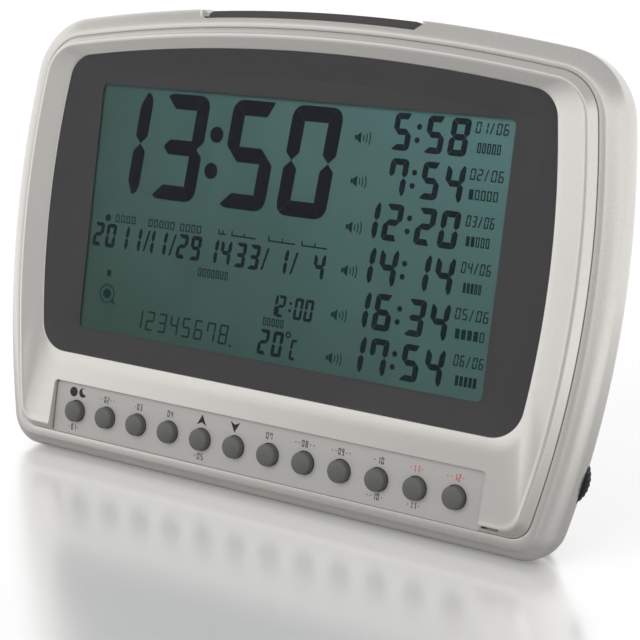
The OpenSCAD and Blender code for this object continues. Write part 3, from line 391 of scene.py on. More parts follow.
# %% [markdown]
# ## Skins over rings
# A shell is a skin over its rings, closed like a ring doughnut so that it has real thickness. A flat
# part is the same outline at two depths. That is all the modelling most of this clock needs.

# %% Skins and slabs
def new_piece(name, points, faces):
    mesh = bpy.data.meshes.new(name)
    mesh.from_pydata(points, [], faces)
    mesh.update()
    piece = bpy.data.objects.new(name, mesh)
    bpy.context.scene.collection.objects.link(piece)
    return piece


def outward(piece):
    """Turns all faces so that they look out of the piece."""
    shape = bmesh.new()
    shape.from_mesh(piece.data)
    bmesh.ops.recalc_face_normals(shape, faces=shape.faces)
    shape.to_mesh(piece.data)
    shape.free()
    return piece


def skin(name, rings, loop=True):
    """A piece over rings of equal length; a loop joins the last ring to the first."""
    m, n = len(rings), len(rings[0])
    points = [point for ring in rings for point in ring]
    faces = []
    for i in range(m if loop else m - 1):
        k = (i + 1) % m
        for j in range(n):
            after = (j + 1) % n
            faces.append((i * n + j, i * n + after, k * n + after, k * n + j))
    if not loop:
        faces.append(tuple(reversed(range(n))))
        faces.append(tuple((m - 1) * n + j for j in range(n)))
    return outward(new_piece(name, points, faces))


def slab(name, points, y0, y1):
    """A flat outline of x and z, from one depth to another."""
    return skin(name, [at_depth(points, y) for y in (y0, y1)], loop=False)


print("tools ready: skin, slab")


# %% Flat outlines
def box_outline(x0, x1, z0, z1, radius=0.0, steps=6):
    """A rectangle with rounded corners."""
    if not radius:
        return [(x0, z0), (x1, z0), (x1, z1), (x0, z1)]
    corners = [(x1 - radius, z0 + radius, -90), (x1 - radius, z1 - radius, 0),
               (x0 + radius, z1 - radius, 90), (x0 + radius, z0 + radius, 180)]
    return [p for x, z, a in corners for p in arc((x, z), radius, a, a + 90, steps, 0)]


def circle(x, z, radius, steps=64):
    return arc((x, z), radius, 0, 360, steps)


def turned(name, profile, x, y, z, steps=64):
    """A profile of radius and height, turned about a line that points out of the face."""
    return skin(name, [at_depth(circle(x, z, radius, steps), y - height) for radius, height in profile],
                loop=False)


print("points round a box with round corners:", len(box_outline(0, 2, 0, 1, 0.2)))

# %% [markdown]
# ## Cuts and smooth edges
# Holes are cut with exact booleans, as a milling cutter would. Faces that meet at a small angle are
# shaded as one curve, and sharper ones keep their edge. The last helper puts a finished piece in its
# place in the room, hangs it on the body it rides on and hides the solid parts it stands for.

# %% Cutting and joining
def cut(piece, cutters, how="DIFFERENCE"):
    """Cuts the pieces in the list out of a piece, or joins them on, and clears them away."""
    for cutter in cutters:
        step = piece.modifiers.new("cut", "BOOLEAN")
        step.operation, step.object, step.solver = how, cutter, "EXACT"
    seen = bpy.context.evaluated_depsgraph_get()
    shape = bpy.data.meshes.new_from_object(piece.evaluated_get(seen))
    piece.modifiers.clear()
    piece.data = shape
    for cutter in cutters:
        bpy.data.objects.remove(cutter)
    return piece


def merged(name, pieces):
    """Several pieces as one mesh."""
    points, faces = [], []
    for piece in pieces:
        start = len(points)
        points += [tuple(v.co) for v in piece.data.vertices]
        faces += [tuple(start + v for v in f.vertices) for f in piece.data.polygons]
        bpy.data.objects.remove(piece)
    return new_piece(name, points, faces)


print("tools ready: cut, merged")


# %% Into the room
def smooth(piece, sharp):
    """Shades the piece as curves, with edges where its faces meet at more than this angle."""
    mesh = piece.data
    mesh.polygons.foreach_set("use_smooth", [True] * len(mesh.polygons))
    mesh.set_sharp_from_angle(angle=math.radians(sharp))


def fit(piece, finish, body="case", slot=None, instead_of=(), sharp=32):
    """Puts a piece drawn on the face in its place in the room, with its finish."""
    piece.data.transform(ON_FACE)
    piece.data.materials.clear()
    piece.data.materials.append(finish)
    smooth(piece, sharp)
    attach(piece, body)
    if instead_of:
        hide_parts(*instead_of)
    return piece


print("tools ready: smooth, fit")

# %% [markdown]
# ## Front panel
# The panel is dished: from the window it slopes forward to a soft ridge, and outside the ridge it
# falls steeply into the thin dark groove along the case. The ridge is the brightest line of the whole
# clock, so its rounding gets rings of its own. Then the long recess for the key strip is cut in,
# with a small slot beside it where the strip can be pried out.

# %% Rings of the panel and the window
RIM = 2.3                                   # width of the rim outside the ridge
RIDGE, CHIN = 1.3, 2.1                      # how far the ridge and the lower edge stand forward
WINDOW_W, WINDOW_LOW, WINDOW_TOP = 182.4, 33.4, 136.3
WINDOW_TOP_R, WINDOW_LOW_R, PANEL_CORNER = 9, 10, 6.3       # corners of the window, and the panel's lower one
RIDGE_LOW = GROOVE_LOW + RIM


def panel_outline(inset):
    """The panel's edge along the groove, drawn in by an inset."""
    return outline(CASE_W / 2 - GROOVE_SIDE - inset, CASE_H - GROOVE_TOP - inset, GROOVE_LOW + inset,
                   TOP_CORNER - GROOVE_SIDE - inset, PANEL_CORNER - inset * 0.2,
                   SIDE_BOW - GROOVE_SIDE - inset, TOP_ARCH - GROOVE_TOP - inset)


def panel_ring(inset, depth):
    return at_depth(panel_outline(inset), depth)


def ridge_ring(inset, sink):
    """A ring near the ridge, whose lower stretch comes forward to the chin."""
    ring = []
    for x, z in panel_outline(inset):
        chin = max(0, min(1, (WINDOW_LOW - z) / (WINDOW_LOW - RIDGE_LOW)))
        ring.append((x, sink - RIDGE - (CHIN - RIDGE) * chin, z))
    return ring


def window_outline(outset):
    """The window's edge, drawn out by an outset."""
    half = WINDOW_W / 2 + outset
    return outline(half, WINDOW_TOP + outset, WINDOW_LOW - outset,
                   WINDOW_TOP_R + outset, WINDOW_LOW_R + outset,
                   SIDE_BOW - CASE_W / 2 + half, TOP_ARCH - CASE_H + WINDOW_TOP + outset)


def window_ring(outset, depth):
    return at_depth(window_outline(outset), depth)


def between(first, second, share):
    """A ring part of the way from one ring to another."""
    return [tuple(p + (q - p) * share for p, q in zip(a, b)) for a, b in zip(first, second)]


print("the dish is", round(CASE_W / 2 - GROOVE_SIDE - RIM - WINDOW_W / 2, 1), "mm wide at the sides")

# %% The dished panel
LENS_GAP, LENS_BACK = 0.1, 2.12             # play round the window, and the depth of its seat
PANEL_BACK, LEDGE = 3.0, 2.5                # the panel's back, and how far the seat reaches under the window
dish_low = window_ring(LENS_GAP + 0.25, -0.04)
dish_high = ridge_ring(RIM + 1.0, 0.10)
RIDGE_STEPS = ((1.0, 0.10), (0.75, 0.05), (0.45, 0.012), (0.15, 0), (-0.12, 0.02), (-0.36, 0.09),
               (-0.52, 0.20), (-0.64, 0.36))    # inset from the ridge's line, and how far below its crest
RIM_STEPS = ((0.60, 0.42), (0.42, 0.66), (0.26, 0.86), (0.12, 1.02), (0.05, 1.22),
             (0.05, PANEL_BACK))                # inset from the panel's edge, and depth, down into the groove
panel_rings = [window_ring(LENS_GAP, LENS_BACK), window_ring(LENS_GAP, 0.12),
               window_ring(LENS_GAP + 0.08, 0.02), dish_low]
panel_rings += [between(dish_low, dish_high, share) for share in (0.2, 0.4, 0.6, 0.8, 0.93)]
panel_rings += [ridge_ring(RIM + inset, sink) for inset, sink in RIDGE_STEPS]
panel_rings += [panel_ring(inset, depth) for inset, depth in RIM_STEPS]
panel_rings += [window_ring(-LEDGE, PANEL_BACK), window_ring(-LEDGE, LENS_BACK)]
front_panel = skin("panel", panel_rings)
print("rings in the panel:", len(panel_rings))

# %% Recess and holes for the keys
KEY_COUNT, KEY_PITCH, BORE_DEEP = 12, 12.9, 4
KEY_X = [(i - (KEY_COUNT + 1) / 2) * KEY_PITCH for i in range(1, KEY_COUNT + 1)]
KEY_Z, KEY_R, KEY_GAP = 14.5, 3.4, 0.25
STRIP_HALF, STRIP_TOP, STRIP_LOW, STRIP_Y, STRIP_BACK = 80.0, 23.5, 6.7, 0.6, 1.4
STRIP_PLAY, STRIP_CORNER, RECESS_LOW = 0.3, 1.5, -5
PRY_SLOT, PRY_DEEP = (79, 86.8, 8.05, 8.75), 2.4
BEFORE, BEYOND = -20, 60                    # depths in front of and behind everything


def key_bores(name):
    """Twelve holes for the keys, as one cutter."""
    return merged(name, [slab("bore", circle(x, KEY_Z, KEY_R + KEY_GAP), 0, BORE_DEEP) for x in KEY_X])


reach_x = STRIP_HALF + STRIP_PLAY
recess = slab("recess", box_outline(-reach_x, reach_x, RECESS_LOW, STRIP_TOP + STRIP_PLAY, STRIP_CORNER),
              BEFORE, STRIP_BACK)
cut(front_panel, [recess, key_bores("bores"), slab("pry_slot", box_outline(*PRY_SLOT), BEFORE, PRY_DEEP)])
fit(front_panel, panel_paint, slot="panel_paint", instead_of=["front_panel"], sharp=35)
print("panel faces:", len(front_panel.data.polygons))

# %% [markdown]
# ## Front housing
# The housing is the silver shell round the panel. Its front edge is a narrow bead beside the groove,
# and it runs back to the seam, where the back cover takes over. Cuts make room for the snooze bar
# in the top and for the volume wheel in the right side.

# %% The silver shell
def sweep(start, end, steps):
    """Angles from one to another, given in degrees."""
    return [math.radians(start + (end - start) * i / steps) for i in range(steps + 1)]


FULLNESS = 1.45                             # 1 is a round front edge, 2 a straight chamfer
LIP_INSET, LIP_FRONT, LIP_BACK = 8, 3.1, 4.9        # the lip behind the panel: its reach and its depths
housing_rings = [panel_ring(inset, depth) for inset, depth in (
    (LIP_INSET, LIP_BACK), (LIP_INSET, LIP_FRONT), (-0.05, LIP_FRONT), (-0.05, 1.55), (-0.12, 1.42),
    (-0.24, 1.34), (-0.42, 1.30))]
for a in sweep(90, 0, 16):
    inset = FRONT_SPREAD * (1 - max(0, math.cos(a)) ** FULLNESS)
    housing_rings.append(case_ring(inset, ROUND_Y - FRONT_ROUND * math.sin(a) ** FULLNESS))
housing_rings += [case_ring(REAR_ROUND * (1 - math.cos(a)), REAR_Y + REAR_ROUND * math.sin(a))
                  for a in sweep(0, TAPER, 7)]
housing_rings += [case_ring(seam_inset - 0.12, SEAM_Y - 0.15), case_ring(seam_inset + 0.1, SEAM_Y),
                  case_ring(seam_inset, SEAM_Y, WALL), case_ring(taper_inset, taper_y, WALL),
                  case_ring(0, REAR_Y, WALL), case_ring(0, LIP_BACK, WALL)]
housing = skin("housing", housing_rings)
print("rings in the housing:", len(housing_rings))

# %% Room for the bar and the wheel
BAR_HALF, BAR_FRONT, BAR_BACK = 38.4, 5.4, 14.6
BAR_GAP, BAR_LEDGE, BAR_BODY = 0.25, 3.3, 8.8       # play, drop of the ledge in front, height of the bar
LEDGE_BACK, POCKET_FRONT, POCKET_BACK = BAR_FRONT + 1, BAR_FRONT - BAR_GAP, BAR_BACK + BAR_GAP


def over_the_top(name, half, profile, steps=64, taper=0.0):
    """A profile of inset below the top line and depth, swept along the arched top."""
    rings = []
    reach = math.asin(half / TOP_ARCH)
    for i in range(steps + 1):
        a = -reach + 2 * reach * i / steps
        ring = []
        for inset, depth in profile:
            r = TOP_ARCH - inset
            lean = taper * (inset - BAR_LEDGE) if i in (0, steps) else 0
            x = r * math.sin(a) + (lean if i == 0 else -lean)
            ring.append((x, depth, CASE_H - TOP_ARCH + r * math.cos(a)))
        rings.append(ring)
    return skin(name, rings, loop=False)


ledge = over_the_top("ledge", BAR_HALF + BAR_GAP, [(-1, BEFORE), (BAR_LEDGE, BEFORE), (BAR_LEDGE, LEDGE_BACK),
                                                   (-1, LEDGE_BACK)], taper=0.9)
pocket = over_the_top("pocket", BAR_HALF + BAR_GAP, [(-20, POCKET_FRONT), (BAR_BODY, POCKET_FRONT),
                                                     (BAR_BODY, POCKET_BACK), (-20, POCKET_BACK)])
WHEEL_X, WHEEL_Z, WHEEL_Y, WHEEL_R, WHEEL_T, WHEEL_PLAY = 95.9, 25.1, 11.0, 9.65, 3.0, 0.4
wheel_slot = slab("wheel_slot", circle(WHEEL_X, WHEEL_Z, WHEEL_R + WHEEL_PLAY), WHEEL_Y - WHEEL_PLAY,
                  WHEEL_Y + WHEEL_T + WHEEL_PLAY)
cut(housing, [ledge, pocket, wheel_slot])
fit(housing, housing_paint, slot="housing_paint", instead_of=["front_housing"], sharp=35)
print("housing faces:", len(housing.data.polygons))

# %% [markdown]
# ## Back cover
# The cover carries the taper on to the flat back. A tongue slips inside the housing at the seam. On
# its flat are the grille of the speaker, the battery bay, the channel where the leg folds away and
# four deep holes for the screws.

# %% The cover's shell
BACK_STEPS = 8


def back_ring(step, inner):
    """A ring of the rounding at the back; inner is how far inside the wall it runs."""
    a = math.radians(TAPER + (90 - TAPER) * step / BACK_STEPS)
    depth = BACK_Y - BACK_ROUND * (1 - math.sin(a)) - inner * math.sin(a)
    return case_ring(flat_inset - BACK_ROUND * math.cos(a), depth, inner * math.cos(a))


cover_y = SEAM_Y + 0.3
BACK_ORDER = range(BACK_STEPS, -1, -1)
TONGUE, TONGUE_WALL = 2.5, 1.4              # how far the tongue reaches in, and how thick it is
tongue_in = WALL + 0.2
cover_rings = [back_ring(k, 0) for k in BACK_ORDER]
cover_rings += [case_ring(section(cover_y + 0.15), cover_y + 0.15),
                case_ring(section(cover_y) + 0.1, cover_y),
                case_ring(seam_inset, cover_y, tongue_in),
                case_ring(seam_inset, SEAM_Y - TONGUE, tongue_in),
                case_ring(seam_inset, SEAM_Y - TONGUE, tongue_in + TONGUE_WALL),
                case_ring(seam_inset, SEAM_Y + 2.2, tongue_in + TONGUE_WALL)]
cover_rings += [back_ring(k, WALL) for k in reversed(BACK_ORDER)]
cover = skin("cover", cover_rings, loop=False)
print("rings in the cover:", len(cover_rings))

# %% Walls inside the cover
SCREW_PLACES = [(x, z) for x in (-90, 90) for z in (40, 112)]
BOSS_R, SHANK_R, HEAD_R = 4.6, 1.55, 3.1    # a boss, and its hole in front of and behind the screw's seat
BOSS_FRONT, SCREW_SEAT = 16.0, 18.0
BAY_X, BAY_HALF, BAY_LOW, BAY_TOP = 54.0, 22.4, 42.0, 100.0
CHANNEL, CHANNEL_Y = 25.3, 33.4             # half the width and the floor of the channel for the leg


def block(x, half, low, top, depth):
    """A block about a middle line, from a depth to beyond the back."""
    return slab("block", box_outline(x - half, x + half, low, top), depth, BEYOND)


inner_rings = [back_ring(k, 1.1) for k in BACK_ORDER]
inner_rings += [case_ring(section(cover_y), cover_y, 1.1), case_ring(seam_inset, SEAM_Y - 2.4, 2.6)]
inside = skin("inside", inner_rings, loop=False)
walls = [slab("boss", circle(x, z, BOSS_R, 32), BOSS_FRONT, BEYOND) for x, z in SCREW_PLACES]
walls += [block(0, CHANNEL + 2, 58, 71.6, 30.18),           # round the leg's hinge
          block(0, CHANNEL + 2, 4.2, 69.5, 31.4),           # round the channel
          block(BAY_X, BAY_HALF + 1.5, BAY_LOW - 1.5, BAY_TOP + 1.5, 18.9),     # round the cells
          block(BAY_X, BAY_HALF + 2.8, BAY_LOW - 2.8, BAY_TOP + 2.8, 33.2)]     # round the door
filling = walls[0]
cut(filling, walls[1:], "UNION")
cut(filling, [inside], "INTERSECT")
cut(cover, [filling], "UNION")
print("walls and bosses inside the cover:", len(walls))

# %% Holes in the cover
SPEAKER_X, SPEAKER_Z, SPEAKER_R = -54.0, 71.0, 18.0
GRILLE_PITCH, GRILLE_SLOT, GRILLE_Y = 4.2, 1.8, 33  # between two slots, a slot's height, inside of the back
slot_r = GRILLE_SLOT / 2
holes = [slab("hole", circle(x, z, SHANK_R, 24), 0, BEYOND) for x, z in SCREW_PLACES]
holes += [slab("hole", circle(x, z, HEAD_R, 48), SCREW_SEAT, BEYOND) for x, z in SCREW_PLACES]
for k in range(-4, 5):
    half = math.sqrt(SPEAKER_R ** 2 - (k * GRILLE_PITCH) ** 2) + slot_r
    z = SPEAKER_Z + k * GRILLE_PITCH
    holes.append(slab("hole", box_outline(SPEAKER_X - half, SPEAKER_X + half, z - slot_r, z + slot_r,
                                          slot_r - 0.01, 8), GRILLE_Y, BEYOND))
holes += [block(0, CHANNEL, 60, 69.6, 32.18),               # room for the leg's hinge
          block(0, CHANNEL, -10, 69.1, CHANNEL_Y),          # the channel
          block(BAY_X, BAY_HALF, BAY_LOW, BAY_TOP, 20.4),   # the battery bay
          block(BAY_X, BAY_HALF + 1.8, BAY_LOW - 1.8, BAY_TOP + 1.8, 34.9)]     # the seat of the door
cut(cover, holes)
cover_plastic = silver_paint("cover_plastic", tint(176, 174, 170), 0.1, 0.5)
fit(cover, cover_plastic, slot="cover_plastic", instead_of=["back_cover"], sharp=35)
print("cover faces:", len(cover.data.polygons))

# %% [markdown]
# ## Keys
# Each key is a round dark plastic button, slightly crowned, with a soft edge. It is a turned shape,
# so a profile spun about its axis is all it takes. The wide flange at its foot, inside the case, is
# what keeps it from falling out.

# %% Twelve round keys
KEY_END, KEY_LENGTH, KEY_CROWN = 6.1, 8.0, 0.3
KEY_FLANGE, FLANGE_THICK = 0.8, 1.0         # how far the flange stands out, and its thickness
KEY_SHOULDER = KEY_LENGTH - 0.75            # where the soft edge begins
key_profile = [(0.01, 0), (KEY_R + KEY_FLANGE, 0), (KEY_R + KEY_FLANGE, FLANGE_THICK), (KEY_R, FLANGE_THICK),
               (KEY_R, KEY_SHOULDER)]
key_profile += [(KEY_R - 0.6 * (1 - math.cos(a)), KEY_SHOULDER + 0.62 * math.sin(a))
                for a in (math.radians(d) for d in (18, 36, 54, 72))]
edge_r, edge_h = key_profile[-1]
key_profile += [(edge_r * s, KEY_LENGTH + KEY_CROWN - (KEY_LENGTH + KEY_CROWN - edge_h) * s ** 2.6)
                for s in (0.96, 0.9, 0.8, 0.65, 0.45, 0.25, 0.01)]
key_plastic = moulded("key_plastic", tint(97, 97, 96), gloss=0.42, grain_mm=0.25, grain_depth=0.003)
for i, x in enumerate(KEY_X, 1):
    key = turned(f"key_{i:02d}", key_profile, x, KEY_END, KEY_Z)
    fit(key, key_plastic, f"key_{i}", "key_plastic", [f"key_cap_{i}"], sharp=50)
print("keys:", len(KEY_X), "each", 2 * KEY_R, "mm across")

# %% [markdown]
# ## Snooze bar
# The bar in the top is dark grey plastic. It follows the arch of the case, with a rounded front edge
# and rounded ends.

# %% The snooze bar
BAR_DROP = 0.5                              # how far the bar lies below the line of the case
LIPS_FRONT, LIPS_BACK = 5.5, 11.4           # the lips at its foot, which keep it from coming out


def bar_ring(a, end):
    """The bar's section at one place along the arch; end runs from 0 to 1 in the last few mm."""
    round_off = 1.9 * (1 - math.sqrt(max(0, 1 - end ** 2)))
    top = BAR_DROP + round_off
    edge = [(BAR_BODY, BAR_FRONT), (top + 1.0, BAR_FRONT), (top + 0.55, BAR_FRONT + 0.1),
            (top + 0.22, BAR_FRONT + 0.35), (top + 0.04, BAR_FRONT + 0.75)]
    for k in range(0, 6):
        depth = BAR_FRONT + 1.2 + (BAR_BACK - BAR_FRONT - 1.7) * k / 5
        edge.append((top + section(depth), depth))
    edge += [(top + section(BAR_BACK) + 0.12, BAR_BACK - 0.15), (top + section(BAR_BACK) + 0.45, BAR_BACK),
             (BAR_BODY, BAR_BACK)]
    return [((TOP_ARCH - inset) * math.sin(a), depth, CASE_H - TOP_ARCH + (TOP_ARCH - inset) * math.cos(a))
            for inset, depth in edge]


reach = math.asin(BAR_HALF / TOP_ARCH)
places = [-1, -0.998, -0.992, -0.98, -0.965, -0.95] + [i / 20 for i in range(-18, 19)] \
    + [0.95, 0.965, 0.98, 0.992, 0.998, 1]
bar = skin("bar", [bar_ring(reach * p, max(0, (abs(p) - 0.95) / 0.05)) for p in places], loop=False)
lip_top = WALL + taper_inset * (LIPS_BACK - REAR_Y) / (taper_y - REAR_Y) + 0.15
lip_low = BAR_BODY - 0.1
lips = over_the_top("lips", BAR_HALF + 1.0, [(lip_low, LIPS_FRONT), (lip_top, LIPS_FRONT),
                                             (lip_top, LIPS_BACK), (lip_low, LIPS_BACK)], 24)
cut(bar, [lips], "UNION")
bar_plastic = moulded("bar_plastic", tint(66, 64, 62), gloss=0.45, grain_mm=0.4, grain_depth=0.004)
fit(bar, bar_plastic, "snooze", "bar_plastic", ["snooze_bar"], sharp=40)
print("bar:", 2 * BAR_HALF, "mm long")

# %% [markdown]
# ## Volume wheel
# Only the edge of the wheel stands out of the case. Fine grooves round it give the thumb a grip.

# %% The volume wheel
TEETH, TOOTH_STEPS, TOOTH_DEPTH = 36, 6, 0.22
rim = []
for i in range(TEETH * TOOTH_STEPS):
    wave = 0.5 + 0.5 * math.cos(2 * math.pi * i / TOOTH_STEPS)
    a = 2 * math.pi * i / (TEETH * TOOTH_STEPS)
    rim.append((a, WHEEL_R - TOOTH_DEPTH * (1 - wave ** 0.6)))


def wheel_ring(depth, inset):
    """The wheel's toothed edge at a depth, drawn in by an inset."""
    points = [(WHEEL_X + (r - inset) * math.cos(a), WHEEL_Z + (r - inset) * math.sin(a)) for a, r in rim]
    return at_depth(points, WHEEL_Y + depth)


wheel = skin("wheel", [wheel_ring(depth, inset) for depth, inset in (
    (0, 6.9), (0, 0.45), (0.12, 0.15), (0.35, 0), (WHEEL_T - 0.35, 0), (WHEEL_T - 0.12, 0.15),
    (WHEEL_T, 0.45), (WHEEL_T, 6.9))])
# black plastic, darkened further as painted shade for the shadow in the wheel's slot
wheel_plastic = moulded("wheel_plastic", tint(27, 29, 27), gloss=0.6)
fit(wheel, wheel_plastic, "volume", "wheel_plastic", ["volume_wheel"], sharp=50)
print("wheel teeth:", TEETH)

# %% [markdown]
# ## Key strip
# The keys come up through a flat satin strip that lies in the panel's recess. We draw it again with
# its edges broken by a tenth of a millimetre or two, because a moulded edge always catches some light.

# %% The key strip
STRIP_EDGE = 0.18                           # how far the strip's edges are broken
STRIP_MORE = 0.2                            # how far it reaches into the play of its recess


def strip_ring(inset, depth):
    """The strip's outline at a depth, drawn in by an inset."""
    more = STRIP_MORE - inset
    return at_depth(box_outline(-STRIP_HALF - more, STRIP_HALF + more, STRIP_LOW - more, STRIP_TOP + more,
                                STRIP_CORNER), depth)


strip = skin("strip", [strip_ring(STRIP_EDGE, STRIP_Y), strip_ring(STRIP_EDGE * 0.3, STRIP_Y + 0.05),
                       strip_ring(0, STRIP_Y + STRIP_EDGE), strip_ring(0, STRIP_BACK - 0.01)], loop=False)
cut(strip, [key_bores("strip_bores")])
strip_plastic = silver_paint("strip_plastic", tint(186, 184, 180), 0.08, 0.45)
fit(strip, strip_plastic, slot="strip_plastic", instead_of=["key_strip"], sharp=35)
print("strip faces:", len(strip.data.polygons))

# %% [markdown]
# ## The mask and the display's ground
# The clear window thins towards its edge, and the dark mask printed behind it follows that slope. A
# liquid crystal display that is not lit is a grey green sheet. It is a little lighter at the top
# right, where it catches more of the room. Under the edge of the mask it runs into shade.

# %% The mask round the display
VIEW_HALF, VIEW_LOW, VIEW_TOP = 74.7, 42.2, 121.95
LENS_BEVEL = 8.0                            # the window thins towards its edge over this width
MASK_EDGE, MASK_FRONT, MASK_BACK = 0.25, 2.02, LENS_BACK - 0.01     # its depth at the edge, and its sheet's
mask = skin("mask", [window_ring(outset, depth) for outset, depth in (
    (0.04, MASK_EDGE), (0.08, MASK_EDGE), (0.08, MASK_BACK), (-LENS_BEVEL - 0.4, MASK_BACK),
    (-LENS_BEVEL - 0.4, MASK_FRONT), (-LENS_BEVEL, MASK_FRONT))])
sheet = slab("sheet", window_outline(-LENS_BEVEL - 0.2), MASK_FRONT, MASK_BACK)
cut(mask, [sheet], "UNION")
cut(mask, [slab("opening", box_outline(-VIEW_HALF, VIEW_HALF, VIEW_LOW, VIEW_TOP, 2.0, 8), 0, 4)])
mask_print = moulded("mask_print", tint(64, 64, 65), gloss=0.6, cloud=0.03, grain_mm=0.2, grain_depth=0.001,
                     Specular_IOR_Level=0.05)
fit(mask, mask_print, slot="mask_print", instead_of=["window_mask"])
print("view:", 2 * VIEW_HALF, "by", round(VIEW_TOP - VIEW_LOW, 2), "mm")


# %% Grey green display
def display_ground():
    """The display's sheet, lighter at the top right and in shade under the mask."""
    made = Finish("polariser_film")
    slope = made.maths(made.along((0.0042, 0, 0.0055)), 0.04, "SUBTRACT")
    corner = made.maths(made.along((0.00003, 0, 0)), made.along((0, 0, 1), 80), "MULTIPLY")
    cloudy = made.maths(made.maths(slope, corner), made.span(made.noise(30, 2), -0.08, 0.08))
    share = made.span(cloudy, 0, 1, 0, 1)
    ground = made.blend(share, tint(54, 73, 66), tint(80, 111, 110))
    under_top = made.span(made.along((0, 0, 1)), 1, 0.45, VIEW_TOP - 1.2, VIEW_TOP - 0.1)
    under_left = made.span(made.along((1, 0, 0)), 0.45, 1, -VIEW_HALF + 0.1, -VIEW_HALF + 1.2)
    shade = made.maths(under_top, under_left, "MULTIPLY")
    made.colour(made.blend(shade, tint(30, 44, 44), ground))
    made.gloss(made.span(made.noise(2), 0.32, 0.4))
    made.relief(made.noise(0.2, 1), 0.0008)
    made.fix(Specular_IOR_Level=0.05)
    return made.material


polariser_film = display_ground()
print("display ground:", polariser_film.name)

# %% [markdown]
# ## Numerals from seven strokes
# Each numeral is up to seven strokes with pointed ends and a hair of space between them. A stroke is
# drawn as a flat outline, trimmed by the rounded corners of its box, leaned over and given a very
# small thickness, so that it is a real thin shape in front of the display's ground.

# %% Strokes of a numeral
STROKES_OF = {"0": "abcdef", "1": "bc", "2": "abged", "3": "abgcd", "4": "fgbc", "5": "afgcd",
              "6": "afgedc", "7": "fabc", "8": "abcdefg", "9": "abcdfg", "-": "g", "C": "afed"}
LEAN = math.tan(math.radians(4.8))          # how far numerals lean, to the right


def stroke_shapes(w, h, t, gap):
    """The seven strokes of a numeral in its box, before leaning."""
    m, g, k = h / 2, gap / 2, t / 2
    shapes = {
        "a": [(g * 2, h), (w - k - g, h), (w - t - g, h - t), (t + g, h - t)],
        "b": [(w - k, m + g), (w, m + k + g), (w, h), (w - k + g, h), (w - t, h - t - g), (w - t, m + k + g)],
        "f": [(k, m + g), (t, m + k + g), (t, h - t - g), (0, h - g * 2), (0, m + k + g)],
        "g": [(k + g, m), (t + g, m + k), (w - t - g, m + k), (w - k - g, m),
              (w - t - g, m - k), (t + g, m - k)]}
    for low, high in (("d", "a"), ("e", "f"), ("c", "b")):
        shapes[low] = [(x, h - z) for x, z in shapes[high]]
    return shapes


def trimmed(shape, limits):
    """The part of a flat shape inside a convex outline that runs anticlockwise."""
    for a, b in zip(limits, limits[1:] + limits[:1]):
        kept = []
        for p, q in zip(shape, shape[1:] + shape[:1]):
            sp = (b[0] - a[0]) * (p[1] - a[1]) - (b[1] - a[1]) * (p[0] - a[0])
            sq = (b[0] - a[0]) * (q[1] - a[1]) - (b[1] - a[1]) * (q[0] - a[0])
            if sp >= 0:
                kept.append(p)
            if sp * sq < 0:
                s = sp / (sp - sq)
                kept.append((p[0] + (q[0] - p[0]) * s, p[1] + (q[1] - p[1]) * s))
        shape = kept
    return shape


print("strokes in an eight:", len(STROKES_OF["8"]))


# %% A thin print of many flat shapes
class Print:
    """Flat shapes gathered into one thin piece, and the marks that a display or a strip carries."""

    def __init__(self, front, back):
        self.front, self.back, self.points, self.faces = front, back, [], []

    def add(self, shape):
        if len(shape) < 3:
            return
        if sum(p[0] * q[1] - q[0] * p[1] for p, q in zip(shape, shape[1:] + shape[:1])) < 0:
            shape = shape[::-1]
        n, start = len(shape), len(self.points)
        self.points += [(x, self.front, z) for x, z in shape] + [(x, self.back, z) for x, z in shape]
        self.faces.append(tuple(start + i for i in range(n)))
        self.faces.append(tuple(start + n + i for i in reversed(range(n))))
        for i in range(n):
            j = (i + 1) % n
            self.faces.append((start + j, start + i, start + n + i, start + n + j))

    def numeral(self, mark, x, z, w, h, t, gap=0.1, lean=LEAN):
        """One numeral whose box has its lower left corner at x, z."""
        limits = box_outline(0, w, 0, h, t * 0.8, 6)
        for stroke in STROKES_OF[mark]:
            shape = trimmed(stroke_shapes(w, h, t, gap)[stroke], limits)
            self.add([(x + px + pz * lean, z + pz) for px, pz in shape])

    def row(self, text, x, z, w, h, t, step, gap=0.08, lean=LEAN):
        """Numerals at an even step; a blank leaves a place free."""
        for i, mark in enumerate(text):
            if mark != " ":
                self.numeral(mark, x + i * step, z, w, h, t, gap, lean)

    def dot(self, x, z, radius):
        self.add(circle(x, z, radius, 24))

    def bar(self, x0, x1, z0, z1):
        self.add([(x0, z0), (x1, z0), (x1, z1), (x0, z1)])

    def slash(self, x, z, h, t):
        self.add([(x, z), (x + t, z), (x + t + h * 0.27, z + h), (x + h * 0.27, z + h)])

    def bow(self, x, z, radius, t, start, end, steps=10):
        """A stroke bent into part of a ring."""
        outer = arc((x, z), radius + t / 2, start, end, steps, 0)
        inner = arc((x, z), radius - t / 2, start, end, steps, 0)
        for a, b, c, d in zip(outer, outer[1:], inner[1:], inner):
            self.add([a, b, c, d])

    def boxes(self, x0, x1, z0, z1, count, full, t=0.4):
        """A row of small upright boxes, of which the first few are full."""
        step = (x1 - x0) / count
        for i in range(count):
            a, b = x0 + i * step, x0 + i * step + step * 0.74
            if i < full:
                self.bar(a, b, z0, z1)
            else:
                for edge in ((a, a + t, z0, z1), (b - t, b, z0, z1), (a + t, b - t, z0, z0 + t),
                             (a + t, b - t, z1 - t, z1)):
                    self.bar(*edge)

    def sound(self, x, z, t=0.36):
        """A small sounder with three bows of sound."""
        self.bar(x - 2.7, x - 1.9, z - 0.7, z + 0.7)
        self.add([(x - 1.8, z - 0.7), (x - 0.5, z - 1.75), (x - 0.5, z + 1.75), (x - 1.8, z + 0.7)])
        for radius in (2.2, 3.3, 4.4):
            self.bow(x - 1.75, z, radius, t, -24, 24, 5)

    def piece(self, name):
        return outward(new_piece(name, self.points, self.faces))


print("marks ready: numerals, dots, bars, bows, boxes")

